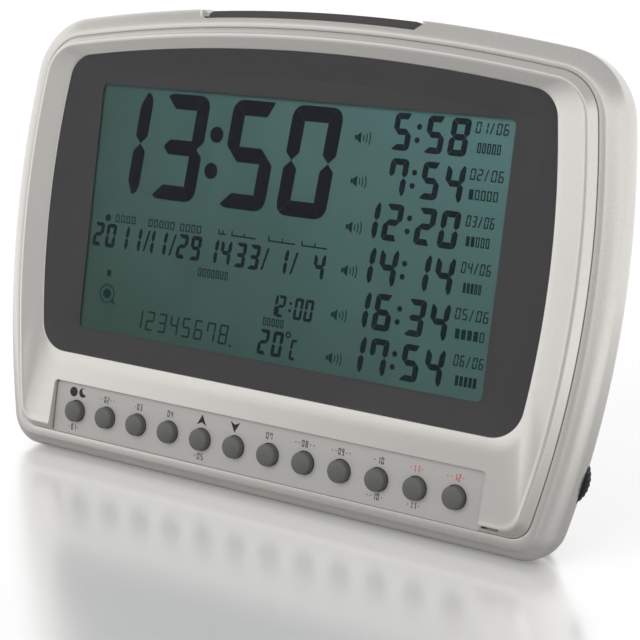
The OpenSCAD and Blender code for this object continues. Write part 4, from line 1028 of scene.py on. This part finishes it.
# %% [markdown]
# ## What the display shows
# The time stands large at the top left. Down the right side are six shorter times, each with a small
# sounder in front of it. Under the large time are two dates, a second small time and the temperature.
# Where such a display would print words, it gets small numerals, bars and boxes, which read the same
# from a step away and say nothing.

# %% The large time
SEGMENT_Y, GROUND_Y = 2.37, 2.40            # front of the strokes, and the ground behind them
large = Print(SEGMENT_Y, GROUND_Y)
for mark, x in (("1", -74.4), ("3", -51.8), ("5", -24.85), ("0", -2.6)):
    large.numeral(mark, x, 87.1, 18.0, 33.65, 4.8, 0.07)
large.dot(-27.55, 109.2, 2.55)
large.dot(-28.3, 97.85, 2.55)
segment_dark = moulded("segment_dark", tint(26, 27, 33), gloss=0.4, cloud=0.08, Specular_IOR_Level=0.05)
large_time = fit(large.piece("large_time"), segment_dark, slot="polariser_film")
print("large time:", len(large_time.data.polygons), "faces")

# %% The six short times
times = Print(SEGMENT_Y, GROUND_Y)
PLACES = (27.3, 35.05, 45.95, 53.75)        # left edges of the four numerals
ROWS = [121.0 - 13.18 * i for i in range(6)]
for i, (text, top) in enumerate(zip((" 558", " 754", "1220", "1414", "1634", "1754"), ROWS)):
    for mark, x in zip(text, PLACES):
        if mark != " ":
            times.numeral(mark, x + 0.17 * i, top - 10.9, 6.15, 10.9, 1.85, 0.08)
    times.dot(44.05 + 0.17 * i, top - 3.6, 0.85)
    times.dot(43.75 + 0.17 * i, top - 7.45, 0.85)
segment_green = moulded("segment_green", tint(24, 33, 38), gloss=0.4, cloud=0.08, Specular_IOR_Level=0.05)
fit(times.piece("short_times"), segment_green, slot="polariser_film")
print("short times:", len(ROWS))

# %% The small marks
marks = Print(SEGMENT_Y, GROUND_Y)
FIRST = ((62.1, 72.5), (62.1, 72.7), (62.6, 71.6), (62.9, 72.3), (62.8, 73.4), (64.1, 73.6))
SECOND = ((63.4, 71.2), (62.5, 72.2), (63.4, 71.3), (64.3, 70.4), (63.6, 73.4), (65.4, 72.6))
SOUNDERS = ((25.4, 112.7), (25.7, 99.9), (25.9, 86.3), (26.1, 73.4), (24.3, 59.9), (24.3, 46.9))
for i, top in enumerate(ROWS):
    x0, x1 = FIRST[i]
    step = (x1 - x0) / 4.75
    for k, mark in enumerate(f"0{i + 1}/06"):
        if mark == "/":
            marks.slash(x0 + k * step + 0.2, top - 3.9, 3.3, 0.4)
        else:
            marks.numeral(mark, x0 + k * step, top - 3.9, step * 0.76, 3.3, 0.42, 0.02)
    marks.boxes(*SECOND[i], top - 9.4, top - 6.5, 5, i, 0.38)
    marks.sound(*SOUNDERS[i])
small_grey = moulded("segment_fine", tint(24, 42, 44), gloss=0.4, cloud=0.08, Specular_IOR_Level=0.05)
fit(marks.piece("row_marks"), small_grey, slot="polariser_film")
print("marks beside the short times:", len(FIRST) + len(SECOND) + len(SOUNDERS))

# %% The two dates
dates = Print(SEGMENT_Y, GROUND_Y)
for text, places in (("20111129", (-73.1, -67.9, -62.5, -57.3, -51.9, -46.9, -38.55, -33.3)),
                     ("143314", (-26.6, -21.55, -15.9, -10.75, -0.3, 13.1))):
    for mark, x in zip(text, places):
        dates.numeral(mark, x, 69.35, 4.1, 7.75, 1.3, 0.06)
for x in (-51.9, -41.35, -5.5, 5.2):
    dates.slash(x, 69.8, 6.8, 0.75)
fit(dates.piece("dates"), segment_green, slot="polariser_film")
print("dates: two")

# %% Small time, temperature and the plain row
lower = Print(SEGMENT_Y, GROUND_Y)
for mark, x in zip("1200", (-1.1, 1.8, 8.15, 11.9)):
    lower.numeral(mark, x, 56.35, 3.05, 6.7, 0.95, 0.05)
lower.dot(7.0, 61.0, 0.5)
lower.dot(6.85, 58.8, 0.5)
for mark, x in zip("20", (-3.6, 1.55)):
    lower.numeral(mark, x, 44.1, 3.8, 7.9, 1.2, 0.05)
lower.bow(7.4, 51.5, 0.75, 0.5, 0, 360, 20)
lower.numeral("C", 8.3, 44.1, 2.7, 6.3, 0.85, 0.05)
fit(lower.piece("small_time"), segment_green, slot="polariser_film")
plain = Print(SEGMENT_Y, GROUND_Y)
plain.row("12345678", -52.5, 44.9, 3.3, 6.25, 0.62, 4.85, 0.02)
plain.dot(-13.7, 44.9, 0.45)
plain.boxes(-28.9, -16.9, 64.8, 67.4, 7, 0, 0.36)
plain.boxes(-2.4, 5.6, 53.1, 55.6, 5, 0, 0.36)
for x0, x1, count in ((-64.2, -55.4, 4), (-50.6, -39.6, 5), (-37.8, -29.0, 4)):
    plain.boxes(x0, x1, 77.9, 80.4, count, 0, 0.38)
plain.dot(-67.4, 78.9, 1.2)
for x0, x1 in ((-22.8, -19.9), (-17.8, -8.5), (-3.9, 6.1), (8.3, 17.6)):
    plain.bar(x0, x1, 78.6, 79.1)
    plain.bar(x0, x0 + 0.5, 78.6, 80.3)
    plain.bar((x0 + x1) / 2, (x0 + x1) / 2 + 0.5, 79.1, 80.1)
plain.bar(-65.4, -63.8, 60.1, 62.2)
plain.bow(-64.6, 54.4, 2.9, 0.4, 0, 360, 36)
plain.dot(-64.6, 54.4, 1.65)
plain.add([(-62.7, 52.3), (-62.2, 51.8), (-60.7, 50.8), (-61.3, 52.0), (-62.1, 52.7)])
fit(plain.piece("fine_marks"), small_grey, slot="polariser_film")
print("fine marks:", len(plain.faces), "faces")

# %% [markdown]
# ## Print on the key strip
# The strip carries small pictures and labels above and below the keys. They are a screen print of
# ink a few hundredths of a millimetre thick: a sun and a moon, two arrows, and the keys' numbers
# between short dashes, the last two in red.

# %% Pictures and numbers of the keys
INK_Y = STRIP_Y - 0.02
black_ink = Print(INK_Y, STRIP_Y - 0.002)
black_ink.dot(-72.9, 20.6, 1.62)
full = arc((-69.05, 20.75), 1.55, 62, 332, 30, 0)
bite = arc((-67.95, 21.6), 1.42, 318, 78, 30, 0)
black_ink.add(full + [p for p in bite if math.dist(p, (-69.05, 20.75)) < 1.5])
for x, way in ((-19.85, 1), (-7.15, -1)):
    black_ink.add([(x, 20.55 + way * 1.7), (x + 1.85, 20.55 - way * 1.7), (x, 20.55 - way * 0.75),
                   (x - 1.85, 20.55 - way * 1.7)][::way])


def key_label(ink, number, x0, x1, z0=19.15):
    """The key's number, with dashes on both sides as far as the label reaches."""
    count = max(2, round((x1 - x0) / 1.3))
    text = f"{number:02d}".center(count, "-")
    step = (x1 - x0) / count
    ink.row(text, x0, z0, step * 0.74, 2.1, 0.34, step, 0.0, 0.0)


grey_ink = Print(INK_Y, STRIP_Y - 0.002)
for number, x0, x1 in ((2, -62.2, -54.9), (3, -47.2, -43.6), (4, -33.6, -31.0), (7, 4.6, 7.4),
                       (8, 15.1, 23.1), (9, 28.3, 35.7), (10, 43.0, 47.0)):
    key_label(grey_ink, number, x0, x1)
for number, x0, x1 in ((1, -73.8, -69.0), (5, -21.7, -17.6), (10, 41.8, 47.9), (11, 55.6, 60.3)):
    key_label(grey_ink, number, x0, x1, 8.0 if x0 < 0 else 8.4)
red_ink = Print(INK_Y, STRIP_Y - 0.002)
key_label(red_ink, 11, 55.1, 60.2)
key_label(red_ink, 12, 67.3, 73.7)
for name, ink, colour in (("black_print", black_ink, (38, 37, 36)), ("grey_print", grey_ink, (84, 82, 79)),
                          ("red_print", red_ink, (206, 74, 78))):
    fit(ink.piece(name), moulded(name, tint(*colour), gloss=0.5, grain_mm=0.15), slot="strip_plastic")
print("printed labels: 13, and two arrows, a sun and a moon")

# %% [markdown]
# ## The window, and finishes for the ready made parts
# The clear window is drawn again with its slope. The boards, the glass, the speaker and the small
# parts inside keep their solid shapes, and each gets a finish of its own.

# %% Clear window
def clear_pane(name, colour, bend, gloss):
    """A clear pane that lets the lamps through, so what lies behind it is lit."""
    made = Finish(name)
    made.fix(Base_Color=colour, IOR=bend)
    made.shader.inputs["Transmission Weight"].default_value = 1.0
    made.gloss(made.span(made.noise(6, 2), gloss, gloss + 0.02))
    made.relief(made.noise(18, 1), 0.002)
    through = made.new("BsdfTransparent")
    through.inputs["Color"].default_value = colour
    pick = made.new("MixShader")
    made.join(made.new("LightPath").outputs["Is Shadow Ray"], pick.inputs["Fac"])
    made.join(made.shader.outputs["BSDF"], pick.inputs[1])
    made.join(through.outputs["BSDF"], pick.inputs[2])
    made.join(pick.outputs["Shader"], made.nodes["Material Output"].inputs["Surface"])
    return made.material


window_clear = clear_pane("window_clear", tint(250, 250, 250), 1.06, 0.02)
window = skin("window", [window_ring(outset, depth) for outset, depth in (
    (-0.08, 0), (-0.02, 0.03), (0, 0.1), (0, 0.22), (-LENS_BEVEL - 0.02, 2.0))], loop=False)
fit(window, window_clear, slot="window_clear", instead_of=["window_lens"])
print("window faces:", len(window.data.polygons))

# %% Finishes for the ready made parts
def board_laminate():
    """Green circuit board: solder mask with the faint lines of copper tracks under it."""
    made = Finish("board_laminate")
    lines = made.new("TexWave")
    lines.inputs["Scale"].default_value = 260
    lines.inputs["Distortion"].default_value = 6
    lines.inputs["Detail"].default_value = 0
    made.join(made.place, lines.inputs["Vector"])
    tracks = made.span(lines.outputs["Fac"], 0, 1, 0.55, 0.65)
    made.colour(made.blend(tracks, tint(18, 84, 52), tint(30, 108, 66)))
    made.gloss(made.span(made.noise(3), 0.3, 0.42))
    made.relief(tracks, 0.03)
    return made.material


def bare_metal(name, colour, gloss, scratch_mm=0.4):
    """Metal without paint, with fine marks of about this size."""
    made = Finish(name)
    marks_on = made.span(made.noise(scratch_mm, 4), 0, 1)
    made.colour(made.blend(marks_on, shaded(colour, 0.92), shaded(colour, 1.05)))
    made.gloss(made.span(made.noise(scratch_mm * 3, 3), gloss - 0.08, gloss + 0.08))
    made.fix(Metallic=1.0)
    made.relief(made.noise(scratch_mm, 3), 0.003)
    return made.material


laminate = board_laminate()
steel = bare_metal("screw_steel", tint(198, 198, 200), 0.3)
spring_steel = bare_metal("spring_steel", tint(190, 190, 192), 0.25)
nickel = bare_metal("contact_nickel", tint(205, 202, 192), 0.28)
can_steel = bare_metal("can_steel", tint(185, 185, 188), 0.32)
rubber = moulded("rubber_black", tint(34, 34, 34), gloss=0.75, grain_mm=0.6, grain_depth=0.02)
finishes = {
    "key_board": laminate, "main_board": laminate, "snooze_board": laminate,
    "key_ribbon": moulded("ribbon_film", tint(226, 224, 212), gloss=0.35),
    "display_gasket": moulded("foam_black", tint(30, 30, 30), gloss=0.9, grain_mm=0.5, grain_depth=0.08),
    "front_polariser": polariser_film, "rear_polariser": polariser_film,
    "front_glass": clear_pane("display_glass", tint(236, 244, 240), 1.45, 0.02),
    "light_guide": clear_pane("guide_clear", tint(238, 244, 242), 1.45, 0.2),
    "display_holder": moulded("holder_white", tint(236, 236, 232), gloss=0.5),
    "contact_strips": moulded("strip_rubber", tint(222, 150, 165), gloss=0.6),
    "backlight_lamps": moulded("lamp_body", tint(240, 236, 214), gloss=0.3),
    "processor": moulded("epoxy_black", tint(22, 22, 22), gloss=0.25),
    "board_chips": moulded("chip_black", tint(34, 34, 35), gloss=0.55),
    "quartz_crystal": can_steel, "speaker_frame": can_steel,
    "capacitors": moulded("capacitor_sleeve", tint(34, 42, 84), gloss=0.35),
    "heat_sensor": moulded("sensor_bead", tint(46, 112, 76), gloss=0.3),
    "stand_pin": spring_steel,
    "volume_control": moulded("control_body", tint(92, 74, 50), gloss=0.5),
    "speaker_magnet": moulded("magnet_ferrite", tint(64, 64, 66), gloss=0.6, grain_mm=0.8, grain_depth=0.02),
    "speaker_cone": moulded("cone_paper", tint(42, 42, 43), gloss=0.8, grain_mm=0.9, grain_depth=0.03),
    "speaker_screws": steel, "board_screws": steel,
    "contact_plates": nickel,
    "stand_tip": rubber, "rubber_feet": rubber,
    "speaker_leads": moulded("lead_red", tint(178, 36, 30), gloss=0.4),
    "battery_leads": moulded("lead_black", tint(30, 30, 32), gloss=0.4),
}
finishes["rear_glass"] = finishes["front_glass"]
finishes["snooze_switch"] = finishes["board_chips"]
for name, finish in finishes.items():
    part = frame["nodes"][name]
    part.data.materials.clear()
    part.data.materials.append(finish)
print("ready made parts with a finish:", len(finishes))

# %% [markdown]
# ## Battery door and leg
# The door is a plate with a round hinge edge below and a stud at each of its lower corners. Five short
# grooves in the shape of an arrow show where the thumb pushes. The leg is a plate as well, with a round
# end, a hollow and four ribs for the finger that pulls it out. All outer edges are softened.

# %% Battery door
DOOR_HALF, DOOR_LOW, DOOR_TOP, DOOR_MID_Y = BAY_HALF + 1.55, BAY_LOW - 0.55, BAY_TOP + 1.55, 36.0
HALF_DOOR, SOFT_END = 1.0, 0.12             # half its thickness, and how far round ends are softened


def across(name, half, y, z, radius, x=0.0):
    """A round bar from left to right with softened ends."""
    ends = [(x - half, radius - SOFT_END), (x - half + SOFT_END, radius),
            (x + half - SOFT_END, radius), (x + half, radius - SOFT_END)]
    return skin(name, [[(at, b, c) for b, c in circle(y, z, r, 32)] for at, r in ends], loop=False)


def door_ring(inset, behind):
    """The door's edge, drawn in by an inset, at a depth behind the middle of its plate."""
    half = DOOR_HALF - inset
    return at_depth(box_outline(BAY_X - half, BAY_X + half, DOOR_LOW, DOOR_TOP - inset, 0.6),
                    DOOR_MID_Y + behind)


def groove(inset, top):
    """A short groove across the door's outer side."""
    half = 8 - inset
    return slab("groove", box_outline(BAY_X - half, BAY_X + half, top - 1, top, 0.49, 8),
                DOOR_MID_Y + 0.4, 40)


door = skin("door", [door_ring(inset, behind) for inset, behind in (
    (0, -HALF_DOOR), (0, 0.65), (0.1, 0.9), (0.35, HALF_DOOR))], loop=False)
cut(door, [across("barrel", DOOR_HALF, DOOR_MID_Y, DOOR_LOW, HALF_DOOR, BAY_X),
           across("studs", DOOR_HALF + 1.2, DOOR_MID_Y, DOOR_LOW, 0.7, BAY_X)], "UNION")
cut(door, [groove(k, DOOR_TOP - 5 - 2 * k) for k in range(5)])
fit(door, cover_plastic, "door", "cover_plastic", ["battery_door"], sharp=35)
print("door:", round(2 * DOOR_HALF, 2), "by", round(DOOR_TOP - DOOR_LOW + 1, 2), "mm")

# %% The leg
LEG_HALF, LEG_THICK, LEG_LONG, LEG_HEEL = 25.0, 3.0, 62.0, 3.0
LEG_OUT = 33.8772                           # how far it stands out at its stop, in degrees


def leg_ring(x, inset):
    """The outline of the leg's edge, hanging down from its hinge."""
    half, top = LEG_THICK / 2 - inset, LEG_HEEL - inset
    side = arc((0, -LEG_LONG), half, 180, 360, 16) + arc((half - 0.4, top - 0.4), 0.4, 0, 90, 6, 0) \
        + arc((0.4 - half, top - 0.4), 0.4, 90, 180, 6, 0)
    return [(x, y, z) for y, z in side]


leg = skin("leg", [leg_ring(x, inset) for x, inset in (
    (-LEG_HALF, 0.4), (0.12 - LEG_HALF, 0.12), (0.4 - LEG_HALF, 0), (LEG_HALF - 0.4, 0),
    (LEG_HALF - 0.12, 0.12), (LEG_HALF, 0.4))], loop=False)
hollow = skin("hollow", [
    at_depth(box_outline(inset - 17, 17 - inset, inset - 50, -12 - inset, 2.5), depth)
    for inset, depth in ((0.35, 0.3), (0.1, 0.4), (0, 0.65), (0, 9))], loop=False)
cut(leg, [across("bore", LEG_HALF + 5, 0, 0, 0.95), hollow])
for k in range(4):
    cut(leg, [slab("rib", box_outline(-12, 12, -47 + 2.6 * k, -46 + 2.6 * k, 0.49, 8), 0.1, 1.0)], "UNION")
leg.data.transform(Matrix.Translation(STAND_HINGE) @ Matrix.Rotation(math.radians(LEG_OUT), 4, "X"))
fit(leg, cover_plastic, "stand", "cover_plastic", ["stand_leg"], sharp=35)
print("leg:", LEG_LONG + LEG_THICK / 2 + LEG_HEEL, "mm long")

# %% [markdown]
# ## Screws, cells and springs
# The screws of the case sit deep in their holes, with a cross in the head and a thread. Each cell is a
# steel can with a raised end, in a printed jacket of two colours that is rolled over its rims. The
# springs behind the cells are drawn again, round and smooth.

# %% Case screws
SCREW_LONG, SCREW_R = 10.0, 1.3
screw_profile = [(0.01, SCREW_LONG), (0.4, SCREW_LONG), (SCREW_R - 0.3, SCREW_LONG - 1.2)]
for k in range(9):
    screw_profile += [(SCREW_R, SCREW_LONG - 1.7 - 0.9 * k), (SCREW_R - 0.3, SCREW_LONG - 2.1 - 0.9 * k)]
screw_profile += [(2.8, 0), (2.8, -0.9), (2.62, -1.35), (2.2, -1.72), (1.5, -1.93), (0.01, -2.0)]
screws = []
for x, z in SCREW_PLACES:
    screw = turned("screw", screw_profile, x, SCREW_SEAT, z, 32)
    screws.append(cut(screw, [slab("slot", box_outline(x - a, x + a, z - b, z + b), SCREW_SEAT + 1.0, 30)
                              for a, b in ((1.6, 0.32), (0.32, 1.6))]))
fit(merged("screws", screws), steel, instead_of=["case_screws"], sharp=40)
print("screws of the case:", len(screws))

# %% The three cells
CELL_Y, CELL_R, CELL_LONG, CELL_PITCH = 27.6, 7.1, 49.2, 15.0
NUB, PLATE = 1.0, 0.4                       # the cell's raised end, and the thickness of the contact plate
BAND = 13.0                                 # of the jacket's second colour, at the raised end
can_profile = [(0.01, 0.3), (3.4, 0.3), (3.8, 0.02), (6.2, 0.02), (6.85, 0.3), (6.85, CELL_LONG - 0.3),
               (6.4, CELL_LONG - 0.15), (4.6, CELL_LONG - 0.15), (3.4, CELL_LONG - 0.05),
               (2.7, CELL_LONG + 0.1),
               (2.7, CELL_LONG + NUB - 0.25), (2.45, CELL_LONG + NUB), (0.01, CELL_LONG + NUB)]
jacket_profile = [(6.3, 0.0), (6.85, 0.0), (7.03, 0.12), (CELL_R, 0.4), (CELL_R, CELL_LONG - BAND),
                  (6.9, CELL_LONG - BAND), (6.9, 0.25), (6.3, 0.12)]
band_profile = [(CELL_R, CELL_LONG - BAND), (CELL_R, CELL_LONG - 0.4), (7.03, CELL_LONG - 0.12),
                (6.85, CELL_LONG), (6.0, CELL_LONG), (6.0, CELL_LONG - 0.12), (6.9, CELL_LONG - 0.25),
                (6.9, CELL_LONG - BAND)]
jacket_green = moulded("jacket_green", tint(38, 74, 58), gloss=0.22)
band_copper = bare_metal("band_copper", tint(196, 150, 104), 0.3, 0.8)


def upright(name, profile, x, start, way, loop):
    """A profile of radius and height, turned about an upright line; way is 1 for up and -1 for down."""
    return skin(name, [[(a, b, start + way * height) for a, b in circle(x, CELL_Y, radius, 64)]
                       for radius, height in profile], loop)


for name, step, way in (("left", -1, 1), ("middle", 0, -1), ("right", 1, 1)):
    x = BAY_X + step * CELL_PITCH
    start = BAY_TOP - PLATE - NUB - CELL_LONG if way == 1 else BAY_LOW + PLATE + NUB + CELL_LONG
    fit(upright(f"can_{name}", can_profile, x, start, way, False), can_steel,
        instead_of=[f"cell_{name}"], sharp=40)
    fit(upright(f"jacket_{name}", jacket_profile, x, start, way, True), jacket_green, sharp=40)
    fit(upright(f"band_{name}", band_profile, x, start, way, True), band_copper, sharp=40)
print("cells: 3, each", CELL_LONG + NUB, "mm long")

# %% Springs behind the cells
COIL_STEPS, COIL_TURNS = 40, 4              # steps in one turn, and turns


def coil(at, start, end, wire, length, way=1):
    """A spring from one radius to another, up from its foot or down."""
    rings = []
    for i in range(COIL_STEPS * COIL_TURNS + 1):
        a = way * 2 * math.pi * i / COIL_STEPS
        share = i / (COIL_STEPS * COIL_TURNS)
        radius = start + (end - start) * share
        height = wire + (length - 2 * wire) * share
        rings.append([(at[0] + r * math.cos(a), at[1] + r * math.sin(a), at[2] + way * lift)
                      for r, lift in circle(radius, height, wire, 10)])
    return skin("coil", rings, loop=False)


coils = []
for step, way in ((-1, 1), (0, -1), (1, 1)):
    foot = BAY_LOW + PLATE if way == 1 else BAY_TOP - PLATE
    coils.append(coil((BAY_X + step * CELL_PITCH, CELL_Y, foot), 4.2, 2.6, 0.35, 6.9, way))
fit(merged("coils", coils), spring_steel, instead_of=["contact_springs"], sharp=60)
print("springs behind the cells:", len(coils))

# %% [markdown]
# ## Soft pieces inside
# Two springs push the bar up again, and a rubber mat with twelve small domes does the same for the
# keys. They give way when they are pressed.

# %% Springs under the bar
SPRING_X, SPRING_FOOT, SPRING_LONG, BAR_TRAVEL = 31.0, CASE_H - 15.55, 5.75, 1.2
SPRING_Y = (BAR_FRONT + BAR_BACK) / 2
bar_springs = [coil((side * SPRING_X, SPRING_Y, SPRING_FOOT), 2.2, 2.2, 0.3, SPRING_LONG) for side in (-1, 1)]
bar_springs = fit(merged("bar_springs", bar_springs), spring_steel, instead_of=["snooze_springs"], sharp=60)
foot = ON_FACE @ Vector((0, SPRING_Y, SPRING_FOOT))
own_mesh(bar_springs)
print("springs under the bar:", round(SPRING_LONG, 2), "mm long")

# %% The key mat
MAT_Y, MAT_BACK, MAT_HALF, MAT_TALL, DOME = 7.2, 8.0, 76.45, 4.8, 1.0


def mat_ring(inset, depth):
    """The mat's edge, drawn in by an inset."""
    half, tall = MAT_HALF - inset, MAT_TALL - inset
    return at_depth(box_outline(-half, half, KEY_Z - tall, KEY_Z + tall, 1.0), depth)


mat_rubber = moulded("mat_rubber", tint(140, 140, 132), gloss=0.7)
fit(skin("mat", [mat_ring(0.12, MAT_Y), mat_ring(0, MAT_Y + 0.12), mat_ring(0, MAT_BACK)], loop=False),
    mat_rubber, instead_of=["key_mat"])
dome_profile = [(0.01, -0.05), (KEY_R, -0.05), (KEY_R, 0.05), (KEY_R - 0.15, 0.3), (2.6, 0.85), (2.35, 0.97),
                (2.1, DOME), (0.01, DOME)]
for i, x in enumerate(KEY_X, 1):
    dome = fit(turned(f"dome_{i:02d}", dome_profile, x, MAT_Y, KEY_Z, 32), mat_rubber)
    foot = ON_FACE @ Vector((x, MAT_Y, KEY_Z))
    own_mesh(dome)
print("domes:", len(KEY_X))

# %% [markdown]
# ## Floor and light
# The clock stands on a white glossy table top that mirrors it softly. A large soft lamp stands above
# it on the left, and a white room fills the shadows. Silver looks like silver only where it mirrors
# something dark beside something bright. So the room that the paint mirrors is greyer in front of the
# clock, to the right of the front and overhead. The table under, in front of and beside the clock
# carries a painted shade that only mirrored rays see, while the eye still sees white.

# %% Floor
FLOOR_METAL, FLOOR_LIFT = 0.55, 0.18        # the table's share of mirror, and how much it glows
FLOOR_GREY = tint(160, 160, 160)            # painted shade of the table near the clock, seen where the table is mirrored
AROUND = 0.8                                # how much of that painted shade there is beside the clock


def white_to_the_eye(web):
    """One for the rays that show the background: straight, mirrored or through glass."""
    ray = web.new("LightPath")
    seen = ray.outputs["Is Camera Ray"]
    for name in ("Is Glossy Ray", "Is Transmission Ray"):
        seen = web.maths(seen, ray.outputs[name], "MAXIMUM")
    return seen


def near_clock(made):
    """Where the table's painted shade lies: one on the floor under and in front of the clock, less beside it,
    and nothing farther away.
    """
    apart = made.new("SeparateXYZ")
    made.join(made.place, apart.inputs[0])
    x, y = apart.outputs["X"], apart.outputs["Y"]
    slant = made.maths(made.maths(made.maths(x, 0, "ABSOLUTE"), 0.1, "SUBTRACT"), 0, "MAXIMUM")
    in_front = made.span(made.maths(y, slant), 1, 0, -0.05, 0.03)
    away = made.maths(made.maths(slant, 2.0, "POWER"), made.maths(y, 2.0, "POWER"))
    beside = made.span(made.maths(away, 0.5, "POWER"), AROUND, 0, 0.03, 0.30)
    return made.maths(in_front, beside, "MAXIMUM")


def table_top():
    """White and glossy, with a painted shade near the clock for the rays that the paint mirrors."""
    made = Finish("table_top")
    mirrored = made.new("LightPath").outputs["Is Glossy Ray"]
    # painted shade on the table near the clock, seen only by mirrored rays
    share = made.maths(near_clock(made), mirrored, "MULTIPLY")
    made.colour(made.blend(share, tint(250, 250, 250), FLOOR_GREY))
    made.fix(Metallic=FLOOR_METAL, Emission_Color=(1, 1, 1, 1))
    made.gloss(made.span(made.noise(60, 2), 0.20, 0.23))
    glow = made.maths(white_to_the_eye(made), FLOOR_LIFT, "MULTIPLY")
    glow = made.maths(glow, made.maths(1.0, share, "SUBTRACT"), "MULTIPLY")
    made.join(glow, made.shader.inputs["Emission Strength"])
    return made.material


floor = new_piece("floor", [(-8, -8, 0), (8, -8, 0), (8, 8, 0), (-8, 8, 0)], [(0, 1, 2, 3)])
floor.data.materials.append(table_top())
floor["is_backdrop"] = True
print("floor: 16 by 16 m, grey near the clock:", AROUND)

# %% Lamp
def soft_lamp(name, place, size, watts, aim=(0, 0, 0.07)):
    lamp = bpy.data.objects.new(name, bpy.data.lights.new(name, "AREA"))
    lamp.data.shape = "RECTANGLE"
    lamp.data.size, lamp.data.size_y = size
    lamp.data.energy = watts
    lamp.location = place
    lamp.rotation_mode = "QUATERNION"
    lamp.rotation_quaternion = (Vector(aim) - Vector(place)).to_track_quat("-Z", "Y")
    lamp.visible_glossy = False
    bpy.context.scene.collection.objects.link(lamp)


soft_lamp("main_lamp", (-0.35, -1.5, 1.0), (1.2, 1.2), 12)
print("lamps:", len(bpy.data.lights))

# %% The white room, and its greyer parts
# Each part: its direction, the share of that direction where the grey begins and where it is full,
# and how light the grey is.
FRONT = ((-0.25, -1, 0), 0.89, 0.94, 0.46)
RIGHT = ((0.55, -0.83, -0.1), 0.85, 0.97, 0.72)
CEILING = ((0, 0, 1), 0.46, 0.76, 0.50)
ROOM_FILL = 0.55
WHITE = (1, 1, 1, 1)


def room_light():
    """White for the eye; what is mirrored is greyer in front, at the right and overhead."""
    room = bpy.data.worlds.new("room")
    bpy.context.scene.world = room
    room.use_nodes = True
    web = Web(room.node_tree)
    direction = web.new("TexCoord").outputs["Generated"]

    def greyer(towards, start, end, level):
        """How light the room is, going grey towards one direction."""
        return web.span(web.dot(direction, Vector(towards).normalized()), 1.0, level, start, end)

    front_right = web.maths(greyer(*FRONT), greyer(*RIGHT), "MULTIPLY")
    grey = web.maths(front_right, greyer(*CEILING), "MULTIPLY")
    mirrored = web.new("LightPath").outputs["Is Glossy Ray"]
    taken = web.maths(web.maths(1.0, grey, "SUBTRACT"), mirrored, "MULTIPLY")
    seen, fill = web.new("Background"), web.nodes["Background"]
    web.join(web.maths(1.0, taken, "SUBTRACT"), seen.inputs["Strength"])
    web.join(ROOM_FILL, fill.inputs["Strength"])
    choose = web.new("MixShader")
    web.join(white_to_the_eye(web), choose.inputs["Fac"])
    for shader, socket in ((fill, choose.inputs[1]), (seen, choose.inputs[2])):
        web.join(WHITE, shader.inputs["Color"])
        web.join(shader.outputs["Background"], socket)
    web.join(choose.outputs["Shader"], web.nodes["World Output"].inputs["Surface"])


room_light()
print("the room's grey begins", round(math.degrees(math.acos(FRONT[1]))), "degrees from its middle")

# %% Sizes, and the end
sizes = {"solid": [list(c) for c in solid_box], "dressed": [list(c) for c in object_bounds()]}
print("box of the solids ", [[round(v, 4) for v in c] for c in sizes["solid"]])
print("box of the dressed", [[round(v, 4) for v in c] for c in sizes["dressed"]])
